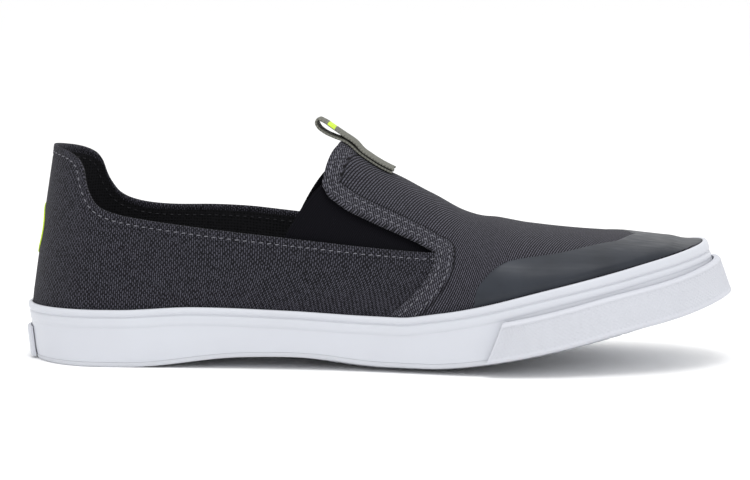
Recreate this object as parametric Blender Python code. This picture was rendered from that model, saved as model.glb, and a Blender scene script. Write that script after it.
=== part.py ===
"""Slip-on sneaker, right shoe: canvas upper on a vulcanised rubber sole. Metres, toe to +X, inner side to +Y."""
from collections import namedtuple

import bmesh
import bpy
import numpy as np

# Driving sizes of the shoe
SOLE_LENGTH = 0.2982
BALL_WIDTH = 0.1045
WAIST_WIDTH = 0.0700
HEEL_WIDTH = 0.0740
HEEL_HEIGHT = 0.0915
INSTEP_RISE = 0.0688
TOE_SPRING = 0.0288
SPRING_START = 0.0265
SPRING_EASE = 0.4
ARCH_LIFT = 0.0050
ARCH_START = -0.1030
ARCH_END = 0.0105
HEEL_CAP = 0.0380
TOE_CAP = 0.0920
TOE_SHIFT = 0.0060
HEEL_POWER = 2.0
LATERAL_TOE_POWER = 2.15
MEDIAL_TOE_POWER = 2.4

# Sole
FOXING_HEIGHT = 0.0256
FOXING_WALL = 0.0018
FOXING_LIFT = 0.0023
FOXING_GROOVE = 0.0008
LIP_DEPTH = 0.0030
BAND_DEPTH = 0.0075
BAND_STEP = 0.0003
HEEL_TUCK = 0.0030
TREAD_EDGE = 0.0008
TREAD_ROUND = 0.0012
EDGE_LIFT = 0.0024
EDGE_LIFT_START = -0.0500
EDGE_LIFT_END = 0.1400
EDGE_LIFT_RUN = 0.0400
PLATFORM_HEEL = 0.0130
PLATFORM_TOE = 0.0090
INSOLE_THICKNESS = 0.0035
INSOLE_RIM = 0.0015
BUMPER_PROUD = 0.0025
BUMPER_HEIGHT = 0.0158
BUMPER_LIFT = 0.0006
BUMPER_CHAMFER = 0.0014
BUMPER_START = 0.0515
BUMPER_RAKE = 0.0090
BUMPER_RAKE_RUN = 0.0240
BUMPER_ROUND = 0.0008
PATCH_PROUD = 0.0014
PATCH_HEIGHT = 0.0130
PATCH_LIFT = 0.0008
PATCH_WIDTH = 0.0300

# Upper
UPPER_WALL = 0.0020
VAMP_LAP = 0.0008
VAMP_LAP_RISE = 0.0030
HEEL_LEAN = 0.0100
LEAN_END = -0.0600
MEDIAL_RISE = 0.0055
MEDIAL_RISE_END = 0.33
SEAM_LEAN = 0.0192
SEAM_POWER = 2.5
SEAM_FADE = 0.0400
FLAP_REACH = 0.0493
FLAP_CORNER_RISE = 0.0256
FLAP_REAR_LEAN = 0.0082
FLAP_REAR_POWER = 1.3
FLAP_SPACING = 1.3
GORE_THICKNESS = 0.0010
GORE_TUCK = 0.0045
GORE_CORNER_TUCK = 0.0010
GORE_REACH = 0.0125
FILM_THICKNESS = 0.0005
FILM_LIFT = 0.0006
FILM_START = 0.0470
FILM_CREST = 0.1220
LOOP_WIDTH = 0.0125
LOOP_THICKNESS = 0.0011
LOOP_LAP = 0.0192
LOOP_REACH = 0.0126
LOOP_RISE = 0.0108
LOOP_PEEL = 0.0060
LOOP_FLATTEN = 0.8

# Fits
GAP = 0.0003
GORE_GAP = 0.0005
FILM_GAP = 0.0005
WELD = 0.000002
EDGE_PROBE = 0.0001

HALF_LENGTH = SOLE_LENGTH / 2
CUP_INSET = FOXING_WALL + GAP

# Sole outline: station from heel to toe, the width that it follows, and that width's share on each side
Outline = namedtuple("Outline", "station width lateral medial")
OUTLINE = [
    Outline(0.00, HEEL_WIDTH, 0.500, 0.500),
    Outline(0.10, HEEL_WIDTH, 0.507, 0.500),
    Outline(0.20, HEEL_WIDTH, 0.507, 0.486),
    Outline(0.30, WAIST_WIDTH, 0.532, 0.468),
    Outline(0.40, WAIST_WIDTH, 0.543, 0.450),
    Outline(0.50, BALL_WIDTH, 0.392, 0.321),
    Outline(0.58, BALL_WIDTH, 0.440, 0.373),
    Outline(0.65, BALL_WIDTH, 0.488, 0.440),
    Outline(0.72, BALL_WIDTH, 0.512, 0.484),
    Outline(0.80, BALL_WIDTH, 0.517, 0.493),
    Outline(0.90, BALL_WIDTH, 0.512, 0.488),
    Outline(1.00, BALL_WIDTH, 0.507, 0.484),
]

# Top of the foxing above the bottom line, as a share of its height
Level = namedtuple("Level", "station share")
FOXING_TOP = [
    Level(0.00, 0.938), Level(0.15, 0.941), Level(0.26, 1.003), Level(0.39, 0.967), Level(0.50, 0.915),
    Level(0.55, 0.908), Level(0.60, 0.982), Level(0.67, 1.034), Level(0.78, 1.085), Level(0.90, 1.048),
    Level(0.96, 1.000), Level(1.00, 0.967),
]

# Crest of the last above the foxing's top, as a share of the instep's rise; the leg stands behind the throat
CREST = [
    Level(0.00, 1.250), Level(0.20, 1.300), Level(0.32, 1.300), Level(0.40, 1.130), Level(0.457, 0.990),
    Level(0.508, 0.847), Level(0.551, 0.757), Level(0.580, 0.675), Level(0.632, 0.526), Level(0.668, 0.464),
    Level(0.702, 0.428), Level(0.762, 0.336), Level(0.834, 0.232), Level(0.888, 0.156), Level(0.923, 0.098),
    Level(0.952, 0.050), Level(0.978, 0.016), Level(1.000, 0.004),
]

# Topline of the collar above the floor, as a share of the heel's height
COLLAR = [
    Level(0.000, 1.000), Level(0.030, 0.978), Level(0.050, 0.948), Level(0.060, 0.912), Level(0.070, 0.840),
    Level(0.080, 0.790), Level(0.092, 0.748), Level(0.110, 0.718), Level(0.155, 0.684), Level(0.255, 0.646),
    Level(0.405, 0.595), Level(0.525, 0.559), Level(0.596, 0.548), Level(1.000, 0.548),
]

# Lower edge of the vamp's flap: share of its reach behind the apex, and of its corner's rise
FLAP_EDGE = [
    Level(0.00, 0.000), Level(0.10, 0.075), Level(0.35, 0.270), Level(0.60, 0.470), Level(0.80, 0.650),
    Level(0.91, 0.790), Level(0.97, 0.885), Level(1.00, 1.000),
]

# Rear edge of the toe film: share of the way up the section, and of its run from start to crest
FILM_EDGE = [
    Level(0.00, 0.000), Level(0.12, 0.030), Level(0.20, 0.095), Level(0.33, 0.280), Level(0.41, 0.570),
    Level(0.56, 0.800), Level(0.65, 0.900), Level(1.00, 1.000),
]

# Free part of the pull loop: shares of its reach behind the flap and of its rise above the flap's top
Turn = namedtuple("Turn", "back up")
LOOP_TURN = [
    Turn(-0.30, 0.12), Turn(0.05, 0.40), Turn(0.45, 0.70), Turn(0.78, 0.93), Turn(0.94, 0.99),
    Turn(1.00, 0.86), Turn(0.94, 0.69), Turn(0.74, 0.50), Turn(0.42, 0.34), Turn(0.04, 0.19),
]

# Columns of the mesh from heel to toe: where each stretch ends, and how many cells it has
Stretch = namedtuple("Stretch", "end cells")
TAB_REAR = 0.058
TAB_FRONT = 0.102
STRETCHES = [
    Stretch(HALF_LENGTH * (2 * TAB_REAR - 1), 6), Stretch(HALF_LENGTH * (2 * TAB_FRONT - 1), 6),
    Stretch(ARCH_END, 11), Stretch(SPRING_START, 2), Stretch(HALF_LENGTH, 13),
]
BELT_CELLS = 5
BELT_FOOT = (-1.0, -0.15)
GORE_CELLS = (7, 11)
FILM_CELLS = (12, 18)
LOOP_CELLS = 4
PLATE_SHARES = (0.0, 0.15, 0.5, 0.85, 1.0)
INSOLE_CELLS = 6
DOME_CELLS = 7
FLAP_CELLS = 7
TOE_BELT = 0.38
SECTION_POWER = 0.91
LATERAL = -1
MEDIAL = 1

# Plain colours of the solids, in linear light
Paint = namedtuple("Paint", "name colour roughness")
RUBBER = Paint("white_rubber", (0.80, 0.82, 0.86), 0.45)
TREAD = Paint("tread_rubber", (0.76, 0.78, 0.82), 0.55)
RIBBED = Paint("ribbed_rubber", (0.78, 0.80, 0.84), 0.60)
CANVAS = Paint("canvas", (0.045, 0.045, 0.055), 0.85)
ELASTIC = Paint("elastic", (0.008, 0.008, 0.010), 0.80)
FILM = Paint("satin_film", (0.030, 0.032, 0.040), 0.35)
WEBBING = Paint("webbing", (0.120, 0.120, 0.100), 0.85)
TEXTILE = Paint("textile", (0.020, 0.020, 0.022), 0.90)


def smooth(at, stations, values):
    """Monotone cubic curve through a table."""
    x = np.asarray(stations, float)
    y = np.asarray(values, float)
    step = np.diff(x)
    slope = np.diff(y) / step
    bend = np.zeros_like(y)
    same = slope[:-1] * slope[1:] > 0
    before, after = 2 * step[1:] + step[:-1], step[1:] + 2 * step[:-1]
    inner = np.zeros_like(slope[:-1])
    inner[same] = (before + after)[same] / (before[same] / slope[:-1][same] + after[same] / slope[1:][same])
    bend[1:-1] = inner
    bend[0], bend[-1] = slope[0], slope[-1]
    at = np.clip(at, x[0], x[-1])
    i = np.clip(np.searchsorted(x, at) - 1, 0, len(step) - 1)
    t = (at - x[i]) / step[i]
    rise = (1 + 2 * t) * (1 - t) ** 2 * y[i] + t * t * (3 - 2 * t) * y[i + 1]
    return rise + step[i] * (t * (1 - t) ** 2 * bend[i] - t * t * (1 - t) * bend[i + 1])


def ramp(value, start, end):
    """Soft step from 0 at start to 1 at end."""
    t = np.clip((value - start) / (end - start), 0.0, 1.0)
    return t * t * (3 - 2 * t)


def station(u):
    return (u + HALF_LENGTH) / SOLE_LENGTH


def level(u, table):
    return smooth(station(u), [row.station for row in table], [row.share for row in table])


def share(at, table):
    return smooth(at, [row.station for row in table], [row.share for row in table])


def along(q):
    """Place along the sole for a turn from heel (0) to toe (1), close together at both ends."""
    return -HALF_LENGTH * np.cos(np.pi * q)


def turn(u):
    return np.arccos(np.clip(-u / HALF_LENGTH, -1.0, 1.0)) / np.pi


def spine(u):
    return TOE_SHIFT * ramp(u, 0.0, HALF_LENGTH)


def edge_point(q, side):
    """Outer edge of the foxing in plan."""
    u = along(q)
    at = station(u)
    widths = [row.width * (row.lateral if side == LATERAL else row.medial) for row in OUTLINE]
    half = smooth(at, [row.station for row in OUTLINE], widths)
    toe_power = LATERAL_TOE_POWER if side == LATERAL else MEDIAL_TOE_POWER
    for room, cap, power in ((u + HALF_LENGTH, HEEL_CAP, HEEL_POWER), (HALF_LENGTH - u, TOE_CAP, toe_power)):
        short = 1 - np.clip(room / cap, 0.0, 1.0)
        half = half * (1 - short ** power) ** (1 / power)
    past = np.where((q < 0) | (q > 1), -1, 1)
    return np.stack([u, spine(u) + side * past * half], -1)


def sole_edge(q, side, inset):
    """The same edge, moved inwards square to itself."""
    q = np.asarray(q, float)
    along_edge = edge_point(q + EDGE_PROBE, side) - edge_point(q - EDGE_PROBE, side)
    along_edge /= np.linalg.norm(along_edge, axis=-1, keepdims=True)
    outward = np.stack([-side * along_edge[..., 1], side * along_edge[..., 0]], -1)
    tips = ((q <= 0) | (q >= 1))[..., None]
    outward = np.where(tips, np.stack([np.where(q < 0.5, -1.0, 1.0), 0.0 * q], -1), outward)
    return edge_point(q, side) - outward * np.asarray(inset)[..., None]


def arch(u):
    middle, half = (ARCH_START + ARCH_END) / 2, (ARCH_END - ARCH_START) / 2
    return ARCH_LIFT * np.cos(np.pi / 2 * np.clip((u - middle) / half, -1.0, 1.0)) ** 2


def edge_lift(u):
    """The tread's edge curls up a little under the ball."""
    rise = ramp(u, EDGE_LIFT_START, EDGE_LIFT_START + EDGE_LIFT_RUN)
    return EDGE_LIFT * rise * (1 - ramp(u, EDGE_LIFT_END - EDGE_LIFT_RUN, EDGE_LIFT_END))


def foxing_top(u):
    return FOXING_HEIGHT * level(u, FOXING_TOP)


def platform(u):
    """Top of the rubber core, which the upper and the insole stand on."""
    return PLATFORM_HEEL + (PLATFORM_TOE - PLATFORM_HEEL) * ramp(u, ARCH_START, SPRING_START)


def collar_height(u, side):
    lift = MEDIAL_RISE * ramp(station(u), TAB_FRONT, MEDIAL_RISE_END) if side == MEDIAL else 0.0
    return HEEL_HEIGHT * level(u, COLLAR) + lift


def bend(points):
    """Straight last to real last: the heel wall tucks in below, and the forefoot turns up with the toe spring."""
    u, y, h = points[..., 0], points[..., 1], points[..., 2]
    low = 1 - np.clip(h / FOXING_HEIGHT, 0.0, 1.0)
    u = u + HEEL_TUCK * low * (1 - ramp(u, -HALF_LENGTH, ARCH_START))
    reach = HALF_LENGTH - SPRING_START
    t = np.clip((u - SPRING_START) / reach, 0.0, None)
    slope = np.arctan(1.5 * TOE_SPRING / reach * t ** 0.5) * ramp(t, 0.0, SPRING_EASE)
    return np.stack([u - h * np.sin(slope), y, TOE_SPRING * t ** 1.5 + h * np.cos(slope)], -1)


def upper_rise(u, grow):
    return INSTEP_RISE * level(u, CREST) + grow


def last_point(q, v, side, grow):
    """Surface of the last: v is -1 at the feather edge, 0 at the foxing's top and 1 on the crest."""
    q, v = np.broadcast_arrays(np.asarray(q, float), np.asarray(v, float))
    plan = sole_edge(q, side, np.full(q.shape, CUP_INSET) - grow)
    u = along(q)
    top = foxing_top(u)
    feather = platform(u) + GAP
    up = np.clip(v, 0.0, 1.0) * np.pi / 2
    h = top + np.clip(v, -1.0, 0.0) * (top - feather) + upper_rise(u, grow) * np.sin(up) ** SECTION_POWER
    middle = spine(u)
    crest = u * (1 - (CUP_INSET - grow) / HALF_LENGTH)
    lean = HEEL_LEAN * np.clip((h - top) / (HEEL_HEIGHT - top), 0.0, None)
    x = crest + (plan[..., 0] - crest) * np.cos(up) + lean * (1 - ramp(u, ARCH_START, LEAN_END))
    y = middle + (plan[..., 1] - middle) * np.cos(up)
    return np.stack([x, y, h], -1)


def section_share(u, h):
    """How far up the section a height lies, as last_point takes it."""
    part = np.clip((h - foxing_top(u)) / upper_rise(u, 0.0), 0.0, 1.0)
    return np.arcsin(part ** (1 / SECTION_POWER)) * 2 / np.pi


def columns():
    """Turns of the mesh columns, shared by every piece that lies along the sole's edge."""
    turns, start = [0.0], 0.0
    for stretch in STRETCHES:
        end = turn(np.array(stretch.end))
        turns += list(np.linspace(start, end, stretch.cells + 1)[1:])
        start = end
    return np.array(turns)


COLUMNS = columns()
SEAM = sum(stretch.cells for stretch in STRETCHES[:3])


def seam_slant(u):
    """Share of the vamp seam's lean that a column takes."""
    return np.where(u < ARCH_END, ramp(u, ARCH_START, ARCH_END), 1 - ramp(u, ARCH_END, HALF_LENGTH - SEAM_FADE))


def belt(first, last, side, vamp):
    """Turns and section shares from the feather edge to the topline, or to the dome's foot on the vamp."""
    foot = along(COLUMNS[first:last + 1])
    head = foot + SEAM_LEAN * seam_slant(foot)
    apex = ARCH_END + SEAM_LEAN
    top = section_share(head, collar_height(head, side))
    if vamp:
        start = section_share(np.array(apex), collar_height(np.array(apex), side))
        top = start + (TOE_BELT - start) * ramp(head, apex, HALF_LENGTH)
    part = np.linspace(0.0, 1.0, BELT_CELLS + 1)[:, None]
    u = foot + (head - foot) * (1 - (1 - part) ** SEAM_POWER)
    v = part * top
    low = np.array(BELT_FOOT)[:, None] * np.ones(len(foot))
    return turn(np.vstack([foot, foot, u])), np.vstack([low, v])


def dome(side):
    turns, shares = belt(SEAM, len(COLUMNS) - 1, side, True)
    part = np.linspace(0.0, 1.0, DOME_CELLS + 1)[:, None]
    return np.repeat(turns[-1:], DOME_CELLS + 1, 0), shares[-1] + (1 - shares[-1]) * part


def flap_low(back, side):
    """Lower edge of the flap at a share of its reach behind the apex: place and height."""
    apex = ARCH_END + SEAM_LEAN
    height = collar_height(np.array(apex), side) + FLAP_CORNER_RISE * share(back, FLAP_EDGE)
    return apex - FLAP_REACH * back, height


def flap(side):
    back = 1 - np.linspace(0.0, 1.0, FLAP_CELLS + 1) ** FLAP_SPACING
    low, height = flap_low(back, side)
    high = low + FLAP_REAR_LEAN * back
    start = section_share(low, height)
    part = np.linspace(0.0, 1.0, DOME_CELLS + 1)[:, None]
    return turn(low + (high - low) * part ** FLAP_REAR_POWER), start + (1 - start) * part


def vamp_grow(q, v):
    """The vamp lies on the quarter, so it stands proud above the foxing."""
    up = np.clip(v, 0.0, 1.0) * np.pi / 2
    return VAMP_LAP * ramp(upper_rise(along(q), 0.0) * np.sin(up) ** SECTION_POWER, 0.0, VAMP_LAP_RISE)


def body_shell(patches):
    """Closed solid from outer and inner grids: the grids are welded, and each free edge gets a rim."""
    outer, inner, faces, lookup = [], [], [], {}
    for out_grid, in_grid in patches:
        rows, cols = out_grid.shape[:2]
        index = np.empty((rows, cols), int)
        for i in range(rows):
            for j in range(cols):
                key = tuple(np.round(out_grid[i, j] * 1e6).astype(int))
                if key not in lookup:
                    lookup[key] = len(outer)
                    outer.append(out_grid[i, j])
                    inner.append(in_grid[i, j])
                index[i, j] = lookup[key]
        for i in range(rows - 1):
            for j in range(cols - 1):
                ring = [index[i, j], index[i, j + 1], index[i + 1, j + 1], index[i + 1, j]]
                ring = [a for k, a in enumerate(ring) if a != ring[k - 1]]
                if len(ring) > 2:
                    faces.append(ring)
    sides = {}
    for ring in faces:
        for k, a in enumerate(ring):
            edge = (ring[k - 1], a)
            sides.setdefault(frozenset(edge), []).append(edge)
    count = len(outer)
    rims = [(b, a, a + count, b + count) for (a, b), *more in sides.values() if not more]
    inside = [[a + count for a in reversed(ring)] for ring in faces]
    return np.array(outer + inner), faces + inside + rims


def loft(sections):
    """Closed solid from closed sections of equal length, laid one after another, with ends that close to a line."""
    count, size = sections.shape[:2]
    faces = []
    for i in range(count - 1):
        for j in range(size):
            k = (j + 1) % size
            faces.append((i * size + j, i * size + k, (i + 1) * size + k, (i + 1) * size + j))
    return sections.reshape(-1, 3), faces


def ring(sections):
    """Closed ring from closed sections."""
    points, faces = loft(np.concatenate([sections, sections[:1]]))
    return points, faces


def capped(sections):
    """Closed bar from closed sections, with a face at each end."""
    points, faces = loft(sections)
    count, size = sections.shape[:2]
    return points, faces + [tuple(range(size)), tuple(reversed(range((count - 1) * size, count * size)))]


def make_material(paint):
    material = bpy.data.materials.new(paint.name)
    material.use_nodes = True
    shader = material.node_tree.nodes["Principled BSDF"]
    shader.inputs["Base Color"].default_value = (*paint.colour, 1.0)
    shader.inputs["Roughness"].default_value = paint.roughness
    return material


def make_body(name, shape, material, sharp=40):
    """Mesh object from points and faces, bent to the last, welded and with its faces outwards."""
    points, faces = shape
    mesh = bpy.data.meshes.new(name)
    mesh.from_pydata(bend(np.asarray(points)).tolist(), [], [tuple(int(a) for a in face) for face in faces])
    work = bmesh.new()
    work.from_mesh(mesh)
    bmesh.ops.remove_doubles(work, verts=work.verts, dist=WELD)
    bmesh.ops.dissolve_degenerate(work, edges=work.edges, dist=WELD)
    bmesh.ops.recalc_face_normals(work, faces=work.faces)
    if work.calc_volume(signed=True) < 0:
        bmesh.ops.reverse_faces(work, faces=work.faces)
    work.to_mesh(mesh)
    work.free()
    mesh.materials.append(material)
    mesh.shade_smooth()
    mesh.set_sharp_from_angle(angle=np.radians(sharp))
    body = bpy.data.objects.new(name, mesh)
    bpy.context.scene.collection.objects.link(body)
    return body


def upper_patches(side):
    """The quarter, the vamp and its flap on one side, with the vamp's edge as a step over the quarter."""
    def pair(q, v, grow):
        return last_point(q, v, side, grow), last_point(q, v, side, np.full(v.shape, -UPPER_WALL))

    quarter_q, quarter_v = belt(0, SEAM, side, False)
    vamp_q, vamp_v = belt(SEAM, len(COLUMNS) - 1, side, True)
    quarter = pair(quarter_q, quarter_v, np.zeros(quarter_v.shape))
    vamp = pair(vamp_q, vamp_v, vamp_grow(vamp_q, vamp_v))
    step = tuple(np.stack([a[:, -1], b[:, 0]], 1) for a, b in zip(quarter, vamp))
    patches = [quarter, step, vamp]
    for q, v in (dome(side), flap(side)):
        patches.append(pair(q, v, vamp_grow(q, v)))
    return patches


def make_upper(material):
    return make_body("upper", body_shell(upper_patches(LATERAL) + upper_patches(MEDIAL)), material)


def around(profile):
    """Sections of a ring round the shoe: the profile gives inset and height at each turn, for one side."""
    lateral = [np.concatenate([sole_edge(q, LATERAL, inset), height[:, None]], 1)
               for q in COLUMNS for inset, height in [profile(q)]]
    medial = [np.concatenate([sole_edge(q, MEDIAL, inset), height[:, None]], 1)
              for q in COLUMNS[-2:0:-1] for inset, height in [profile(q)]]
    return np.array(lateral + medial)


def foxing_profile(q):
    """Side wall: rounded bottom corner, plain wall, a thin band, a groove and the lip."""
    u = along(np.asarray(q))
    low, top = arch(u) + edge_lift(u) + FOXING_LIFT, foxing_top(u)
    grow = 1 + 0.5 * ramp(u, ARCH_END, HALF_LENGTH)
    lip, band = top - LIP_DEPTH * grow, top - BAND_DEPTH
    wall = 2 * BAND_STEP
    inset = [FOXING_WALL, TREAD_EDGE, wall, wall, BAND_STEP, BAND_STEP, FOXING_GROOVE, FOXING_GROOVE, 0.0, 0.0,
             BAND_STEP, 0.55 * FOXING_WALL, FOXING_WALL]
    height = [low, low, low + TREAD_ROUND, band, band + BAND_STEP, lip - 2 * BAND_STEP, lip - BAND_STEP, lip,
              lip + BAND_STEP, top - TREAD_ROUND, top - 0.4 * TREAD_ROUND, top, top]
    return np.array(inset), np.array(height, float)


def make_foxing(material):
    return make_body("foxing", ring(around(foxing_profile)), material, 30)


def across(q, inset, height, shares):
    """Points of a cross line from the lateral to the medial edge at one turn."""
    start, end = sole_edge(q, LATERAL, inset), sole_edge(q, MEDIAL, inset)
    line = start + (end - start) * np.asarray(shares)[:, None]
    return np.concatenate([line, np.broadcast_to(height, (len(line), 1))], 1)


def make_outsole(material):
    """Tread plate with a rounded edge, and the core that fills the foxing up to the platform."""
    whole, ends = np.array(PLATE_SHARES), np.array([0.0, 1.0])
    sections = []
    for q in COLUMNS:
        u = along(q)
        low = arch(u) + edge_lift(u)
        plate = low + FOXING_LIFT - GAP
        flat = np.array([low, arch(u), arch(u), arch(u), low])[:, None]
        bottom = across(q, TREAD_EDGE + TREAD_ROUND, flat, whole)
        corner = across(q, TREAD_EDGE + 0.3 * TREAD_ROUND, low + 0.3 * TREAD_ROUND, ends)
        edge = across(q, TREAD_EDGE, low + TREAD_ROUND, ends)
        rim = across(q, TREAD_EDGE, plate, ends)
        foot = across(q, CUP_INSET, plate, ends)
        top = across(q, CUP_INSET, platform(u), whole)
        climb = [part[1] for part in (corner, edge, rim, foot)]
        descend = [part[0] for part in (foot, rim, edge, corner)]
        sections.append(np.vstack([bottom, climb, top[::-1], descend]))
    return make_body("outsole", loft(np.array(sections)), material, 30)


def make_insole(material):
    """Foot bed that lies on the platform inside the upper, with its rim a little higher."""
    inset = CUP_INSET + UPPER_WALL + GAP
    shares = np.linspace(0, 1, INSOLE_CELLS + 1)
    dish = INSOLE_RIM * np.abs(2 * shares - 1)[:, None] ** 3
    sections = []
    for q in COLUMNS:
        floor = platform(along(q)) + GAP
        bottom = across(q, inset, floor, shares)
        top = across(q, inset, floor + INSOLE_THICKNESS + dish, shares)
        sections.append(np.vstack([bottom, top[::-1]]))
    return make_body("insole", loft(np.array(sections)), material)


def make_bumper(material):
    """Strip round the toe on the foxing, with a raked rear end."""
    first = int(np.searchsorted(along(COLUMNS), BUMPER_START))
    turns = np.concatenate([[turn(np.array(BUMPER_START))], COLUMNS[first:]])

    def section(q, side):
        u = along(np.asarray(q))
        low = arch(u) + edge_lift(u) + BUMPER_LIFT
        back = 1 - ramp(u, BUMPER_START, BUMPER_START + BUMPER_RAKE_RUN)
        inner, outer = -GAP, -GAP - BUMPER_PROUD
        face = BUMPER_HEIGHT - BUMPER_CHAMFER
        rows = [(inner, 0.0), (outer + BUMPER_ROUND, 0.0), (outer, BUMPER_ROUND), (outer, face),
                (outer + BUMPER_ROUND, face + BUMPER_ROUND), (inner, BUMPER_HEIGHT)]
        inset = np.array([row[0] for row in rows])
        height = np.array([row[1] for row in rows])
        shifted = turn(u + back * BUMPER_RAKE * height / BUMPER_HEIGHT)
        plan = np.array([sole_edge(a, side, b) for a, b in zip(shifted, inset)])
        return np.concatenate([plan, (low + height)[:, None]], 1)

    sections = [section(q, LATERAL) for q in turns] + [section(q, MEDIAL) for q in turns[-2::-1]]
    return make_body("toe_bumper", capped(np.array(sections)), material, 30)


def make_heel_patch(material):
    """Thin rubber plate on the back of the foxing."""
    rear = COLUMNS[along(COLUMNS) < ARCH_START]
    end = np.interp(PATCH_WIDTH / 2, edge_point(rear, MEDIAL)[:, 1], rear)
    turns = np.append(COLUMNS[COLUMNS < end], end)

    def section(q, side):
        low = arch(along(q)) + PATCH_LIFT
        inset = np.array([-GAP, -GAP - PATCH_PROUD, -GAP - PATCH_PROUD, -GAP])
        height = low + np.array([0.0, BUMPER_ROUND, PATCH_HEIGHT - BUMPER_ROUND, PATCH_HEIGHT])
        return np.concatenate([sole_edge(q, side, inset), height[:, None]], 1)

    sections = [section(q, LATERAL) for q in turns[::-1]] + [section(q, MEDIAL) for q in turns[1:]]
    return make_body("heel_patch", capped(np.array(sections)), material, 30)


def make_gore(name, side, material):
    """Elastic gusset inside the notch, tucked behind the flap and the quarter."""
    apex = ARCH_END + SEAM_LEAN
    part = np.linspace(0.0, 1.0, GORE_CELLS[1] + 1)
    rear = apex - FLAP_REACH
    low = rear - GORE_REACH - GORE_TUCK + (apex - rear + GORE_REACH + 2 * GORE_TUCK) * part
    high = rear + GORE_CORNER_TUCK + (apex - rear + GORE_TUCK - GORE_CORNER_TUCK) * part
    back = np.clip((apex - high) / FLAP_REACH, 0.0, 1.0)
    start = section_share(low, collar_height(low, side) - GORE_TUCK)
    end = section_share(high, flap_low(back, side)[1] + GORE_TUCK)
    rise = np.linspace(0.0, 1.0, GORE_CELLS[0] + 1)[:, None]
    q, v = turn(low + (high - low) * rise), start + (end - start) * rise
    depth = UPPER_WALL + GORE_GAP
    grids = [last_point(q, v, side, np.full(v.shape, -depth - more)) for more in (0.0, GORE_THICKNESS)]
    return make_body(name, body_shell([tuple(grids)]), material)


def make_toe_film(material):
    """Thin film fused over the canvas of the toe."""
    patches = []
    for side in (LATERAL, MEDIAL):
        part = np.linspace(0.0, 1.0, FILM_CELLS[0] + 1)[:, None]
        run = np.linspace(0.0, 1.0, FILM_CELLS[1] + 1)
        edge = turn(FILM_START + (FILM_CREST - FILM_START) * share(part, FILM_EDGE))
        q = edge + (1.0 - edge) * run
        u = along(q)
        start = section_share(u, foxing_top(u) + np.minimum(FILM_LIFT, upper_rise(u, 0.0) / 2))
        v = start + (1 - start) * part
        grow = vamp_grow(q, v) + FILM_GAP
        patches.append((last_point(q, v, side, grow + FILM_THICKNESS), last_point(q, v, side, grow)))
    return make_body("toe_film", body_shell(patches), material)


def make_pull_loop(material):
    """Webbing strip folded into a loop: both ends lie on the flap's crest, one on the other."""
    rear = ARCH_END + SEAM_LEAN - FLAP_REACH + FLAP_REAR_LEAN

    def lying(depth):
        """Line on the crest, from its front end to the flap's rear edge, raised square to the canvas."""
        u = np.linspace(rear + LOOP_LAP, rear + LOOP_PEEL, LOOP_CELLS + 2)
        line = np.stack([u, foxing_top(u) + upper_rise(u, VAMP_LAP)], -1)
        run = np.gradient(line, axis=0)
        run /= np.linalg.norm(run, axis=1, keepdims=True)
        return line + depth * np.stack([run[:, 1], -run[:, 0]], -1)

    under = lying(GAP + LOOP_THICKNESS / 2)[::-1]
    over = lying(2 * GAP + 1.5 * LOOP_THICKNESS)
    top = foxing_top(rear) + upper_rise(rear, VAMP_LAP)
    free = np.array([(rear - LOOP_REACH * row.back, top + LOOP_RISE * row.up) for row in LOOP_TURN])
    knots = np.vstack([over, free, under])
    run = np.gradient(knots, axis=0)
    run /= np.linalg.norm(run, axis=1, keepdims=True)
    out = np.stack([run[:, 1], -run[:, 0]], -1)
    shares = np.linspace(-1.0, 1.0, LOOP_CELLS + 1)
    widest = np.abs(edge_point(turn(knots[:, 0]), LATERAL)[:, 1])
    up = np.arccos(LOOP_WIDTH / 2 / widest)
    sag = upper_rise(knots[:, 0], VAMP_LAP) * (1 - np.sin(up) ** SECTION_POWER)
    sag *= 1 - LOOP_FLATTEN * ramp(rear - knots[:, 0], 0.0, LOOP_REACH)
    sections = []
    for centre, normal, drop in zip(knots, out, sag):
        rows = []
        for way, order in ((0.5, shares), (-0.5, shares[::-1])):
            for at in order:
                x, z = centre + normal * way * LOOP_THICKNESS
                rows.append((x, spine(x) + at * LOOP_WIDTH / 2, z - drop * at * at))
        sections.append(rows)
    return make_body("pull_loop", capped(np.array(sections)), material)


def centre_on_floor():
    """Puts the middle of the whole shoe's box over the origin, standing on the floor."""
    bodies = [body for body in bpy.data.objects if body.type == "MESH"]
    corners = np.array([vertex.co for body in bodies for vertex in body.data.vertices])
    low, high = corners.min(0), corners.max(0)
    shift = -np.array([(low[0] + high[0]) / 2, (low[1] + high[1]) / 2, low[2]])
    for body in bodies:
        for vertex in body.data.vertices:
            vertex.co = np.array(vertex.co) + shift


def main():
    for old in list(bpy.data.objects):
        bpy.data.objects.remove(old, do_unlink=True)
    rubber = make_material(RUBBER)
    elastic = make_material(ELASTIC)
    make_foxing(rubber)
    make_heel_patch(rubber)
    make_outsole(make_material(TREAD))
    make_bumper(make_material(RIBBED))
    make_insole(make_material(TEXTILE))
    make_upper(make_material(CANVAS))
    make_gore("gore_lateral", LATERAL, elastic)
    make_gore("gore_medial", MEDIAL, elastic)
    make_toe_film(make_material(FILM))
    make_pull_loop(make_material(WEBBING))
    centre_on_floor()


main()
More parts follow.
